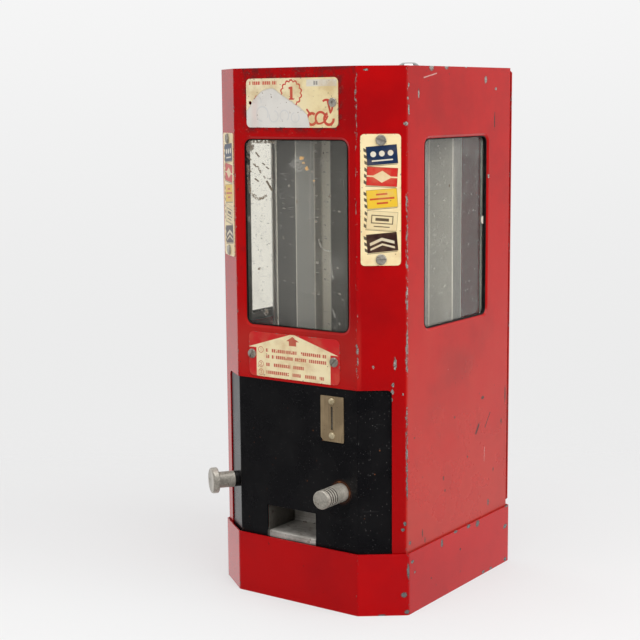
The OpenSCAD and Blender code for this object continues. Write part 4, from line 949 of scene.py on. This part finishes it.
def pack_mark(p, q, motif):
    if motif == "dots":
        dots = [disc(p, q, (at, 1.2), 2.3) for at in (-7, 0, 7)]
        return most(*dots, block(p, q, (0, -4.2), (17, 1.1)))
    if motif == "diamond":
        slope = plus(size_of(p), times(size_of(q), 1.7))
        return most(below(slope, 8.2, 0.2), block(p, q, (0, 0), (25, 1.2)))
    if motif == "stripes":
        rows = [block(p, q, (0, at), (20 - 3 * abs(at), 1.5)) for at in (-3.6, 0, 3.6)]
        return most(*rows)
    if motif == "frame":
        return most(frame_line(p, q, (0, 0.8), (18, 7), 0.8),
                    block(p, q, (0, 0.8), (11, 2.4)), block(p, q, (0, -5), (13, 0.8)))
    bend = plus(q, times(size_of(p), 0.35))
    return times(most(inside(bend, 1.6, 4), inside(bend, -2.2, -0.6)), below(size_of(p), 10, 0.2))


def product_plate_finish(name, origin, direction, middle):
    material, place = new_finish(name, **plate_gloss)
    u, v = in_plane(origin, direction)
    u = minus(u, middle)
    colour = mix(noise(place, 40, 3), (0.88, 0.7, 0.36), (0.92, 0.78, 0.49))
    for level, tilt, ground, mark, motif in packs:
        p, q = turned_axes(u, v, (1.1, level - plate_middle), tilt)
        checks = calc("SINE", plus(times(q, 1.25), times(p, 0.8)))
        side = times(block(p, q, (-13.4, -0.7), (2.4, pack_tall)), step(checks, -0.3, 0))
        foot = block(p, q, (-0.6, -8.2), (pack_wide, 0.5))
        body = block(p, q, (0, 0), (pack_wide, pack_tall))
        edge = frame_line(p, q, (0, 0), (pack_wide, pack_tall), 0.35)
        colour = coats(colour, (most(side, foot), 0.9, (0.035, 0.024, 0.018)), (body, ground),
                       (edge, 0.6, (0.08, 0.045, 0.03)),
                       (pack_mark(p, q, motif), body, 0.92, mark))
    rim = worn_rim(u, minus(v, 0.3), (32.8, 106.2), place, 0.58)
    aged_print(colour, (0.72, 0.5, 0.24), 0.045, rim)
    return material


finishes["cream_enamel"] = product_plate_finish(
    "right_product_enamel", (0.06225, -0.1015, plate_middle / 1000), tuple(corner_run), 19.8)
left_product = product_plate_finish(
    "left_product_enamel", (-0.09525, -0.0765, plate_middle / 1000),
    (corner_run.x, -corner_run.y, 0), 21.6)
print("product plates printed with", len(packs), "packs each")

# %% [markdown]
# Now each solid gets the finish of its material slot, and a few get one of their own.

# %% Give every solid its finish
own_finish = {
    "base_pan": base_paint, "front_glass": front_pane_glass, "left_product_plate": left_product,
    "plunger_knob": plunger_finish, "delivery_tray": tray_finish}
for number, paint in enumerate(channel_paints):
    own_finish["column_" + str(number + 1)] = paint
for part in frame["record"]["subparts"]:
    node = solids[part["node"]]
    chosen = own_finish.get(part["node"], finishes[part["material_slot"]])
    node.data.materials.clear()
    node.data.materials.append(chosen)

# %% [markdown]
# One small form isn't in the CAD model: a pale plastic glazing clip that holds the right pane
# against its seal. It starts as a short cylinder, a bisect cuts the flat, and a bevel takes the
# sharp edges off.

# %% Glazing clip
def deselect_all():
    bpy.ops.object.select_all(action="DESELECT")


def edit_mesh(operation, **options):
    """One operation on the whole mesh of the active object."""
    bpy.ops.object.mode_set(mode="EDIT")
    bpy.ops.mesh.select_all(action="SELECT")
    operation(**options)
    bpy.ops.object.mode_set(mode="OBJECT")


def clip_finish():
    material, place = new_finish("clip_plastic", Roughness=0.45)
    yellowed = noise(place, 600, 3)
    plug(Base_Color=mix(yellowed, (0.8, 0.77, 0.68), (0.66, 0.6, 0.47)))
    bump(yellowed, 0.00002)
    return material


def glazing_clip():
    deselect_all()
    thick, seat = 0.0007, (0.0567, 0.3239)
    bpy.ops.mesh.primitive_cylinder_add(vertices=48, radius=0.0035, depth=thick,
                                        location=(0.09125 + thick / 2, *seat),
                                        rotation=(0, math.pi / 2, 0))
    clip = bpy.context.object
    clip.name = "glazing_clip"
    bpy.ops.object.transform_apply(location=True, rotation=True, scale=True)
    edit_mesh(bpy.ops.mesh.bisect, plane_co=(0.0915, *seat), plane_no=(0, 1, 0), use_fill=True,
              clear_outer=True)
    soften = clip.modifiers.new("soften", "BEVEL")
    soften.width, soften.segments, soften.limit_method = 0.0002, 2, "ANGLE"
    bpy.ops.object.modifier_apply(modifier="soften")
    bpy.ops.object.shade_smooth_by_angle(angle=math.radians(35))
    clip.data.materials.append(clip_finish())
    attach(clip, "cabinet")
    return clip


clip = glazing_clip()
print("clip of", len(clip.data.polygons), "faces")

# %% [markdown]
# The return spring is pressed together when the plunger is pulled, but its solid rides with the
# plunger as one stiff piece. So a copy takes its place. It stands on the cabinet with one end
# against the guide. Its loose triangles are merged first, so that the wire can be shaded round.

# %% Return spring
def return_coil():
    deselect_all()
    coil = bpy.data.objects.new("return_coil", solids["return_spring"].data.copy())
    bpy.context.scene.collection.objects.link(coil)
    coil.select_set(True)
    bpy.context.view_layer.objects.active = coil
    edit_mesh(bpy.ops.mesh.remove_doubles, threshold=0.00001)
    bpy.ops.object.shade_smooth_by_angle(angle=math.radians(50))
    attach(coil, "cabinet")
    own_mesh(coil)
    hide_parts("return_spring")
    return coil


coil = return_coil()
print("coil of", len(coil.data.polygons), "faces")

# %% [markdown]
# The machine stands on a pale table, which ends before the camera so that the enamel mirrors a
# dark room there. The table glows a little for the camera alone, brighter towards the camera as a
# painted pool of light, and its far part fades into the backdrop.

# %% Table
def table_top():
    c, s = cos_sin(view_azimuth)
    deselect_all()
    bpy.ops.mesh.primitive_plane_add(size=1)
    top = bpy.context.object
    top.name = "table_top"
    for corner in top.data.vertices:
        x = 3 if corner.co.x > 0 else -3
        y = 0.62 if corner.co.y > 0 else -0.75
        corner.co = (x * c - y * s, x * s + y * c, 0)
    material, place = new_finish("table_white", Roughness=0.6, Specular_IOR_Level=0.2)
    across = dot(place, (-s, c, 0))
    cloud = noise(place, 3, 2)
    plug(Base_Color=mix(cloud, grey(0.66), grey(0.69)))
    # The glow is brighter towards the camera: a painted pool of light.
    glow_tone = mix(step(across, -0.35, 0.2), grey(1), grey(0.88))
    glow = add("Emission", {"Color": glow_tone})
    seen = times(add("LightPath").outputs["Is Camera Ray"], 0.6)
    paper = add("MixShader", {0: seen, 1: shader().outputs[0], 2: glow.outputs[0]})
    clear = add("BsdfTransparent")
    fade = step(across, 0.3, 0.6)
    both = add("MixShader", {0: fade, 1: paper.outputs[0], 2: clear.outputs[0]})
    tree.links.new(both.outputs[0], tree.nodes["Material Output"].inputs["Surface"])
    top.data.materials.append(material)
    top.visible_glossy = False


table_top()
print("table made")

# %% [markdown]
# The backdrop is the world's colour where the camera, a reflection or the glass looks at it. It is
# bright behind the machine and at the sides. For reflections it turns dark towards the camera,
# which keeps the red deep, and the light that it gives is grey.

# %% Backdrop
world = bpy.data.worlds.new("studio")
bpy.context.scene.world = world
world.use_nodes = True
open_tree(world.node_tree)
tree.nodes.clear()
rays = add("LightPath").outputs
heading = add("TexCoord").outputs["Generated"]
cos_az, sin_az = cos_sin(view_azimuth)
towards = dot(heading, (sin_az, -cos_az, 0))
ramp = add("ValToRGB", {0: plus(times(towards, 0.5), 0.5)})
stops = [(0.1, 0.95), (0.33, 0.6), (0.64, 0.08), (0.725, 0.02)]
while len(ramp.color_ramp.elements) < len(stops):
    ramp.color_ramp.elements.new(0.5)
for element, (position, level) in zip(ramp.color_ramp.elements, stops):
    element.position, element.color = position, (level, level, level, 1)
upward = parts(heading)[2]
backdrop = mix(step(upward, -0.2, 0.25), grey(0.835), grey(0.96))
seen = most(rays["Is Camera Ray"], rays["Is Transmission Ray"])
from_table = plus(times(step(upward, -0.24, -0.06), -0.26), 1)
mirrored = vector("MULTIPLY", ramp.outputs[0], from_table)
tone = coats(grey(0.5), (rays["Is Glossy Ray"], mirrored), (seen, backdrop))
shine = add("Background", {"Color": tone, "Strength": 1})
tree.links.new(shine.outputs[0], add("OutputWorld").inputs["Surface"])
print("backdrop made with", len(stops), "tones for reflections")

# %% [markdown]
# Soft boxes light the object: one overhead, one at the left and slightly behind, one at the right
# front, one that washes the side and one low in front that reaches into the windows. Three are
# hidden from reflections, because they would show as hot spots in the enamel.

# %% Lights
def soft_box(name, place, aim, size, power, mirrored=True):
    data = bpy.data.lights.new(name, "AREA")
    data.shape, data.size, data.size_y, data.energy = "RECTANGLE", size[0], size[1], power
    lamp = bpy.data.objects.new(name, data)
    bpy.context.scene.collection.objects.link(lamp)
    lamp.location = place
    lamp.visible_glossy = mirrored
    lamp.rotation_euler = (Vector(aim) - Vector(place)).to_track_quat("-Z", "Y").to_euler()


soft_box("box_overhead", (0.2, -0.2, 2), (0, 0, 0.2), (1.6, 1.6), 20)
soft_box("box_left", (-1.9, 0.55, 0.7), (0, 0, 0.25), (1.2, 1.4), 12, mirrored=False)
soft_box("box_right", (1.7, -0.9, 1.3), (0, 0, 0.25), (0.9, 0.9), 12, mirrored=False)
soft_box("box_side", (2, 0.3, 1.2), (0, 0, 0.3), (1, 1), 17)
soft_box("box_front", (-0.2, -2, 0.9), (0, 0, 0.25), (1, 1), 6, mirrored=False)
bpy.context.scene.view_settings.view_transform = "Standard"
print("lights set")
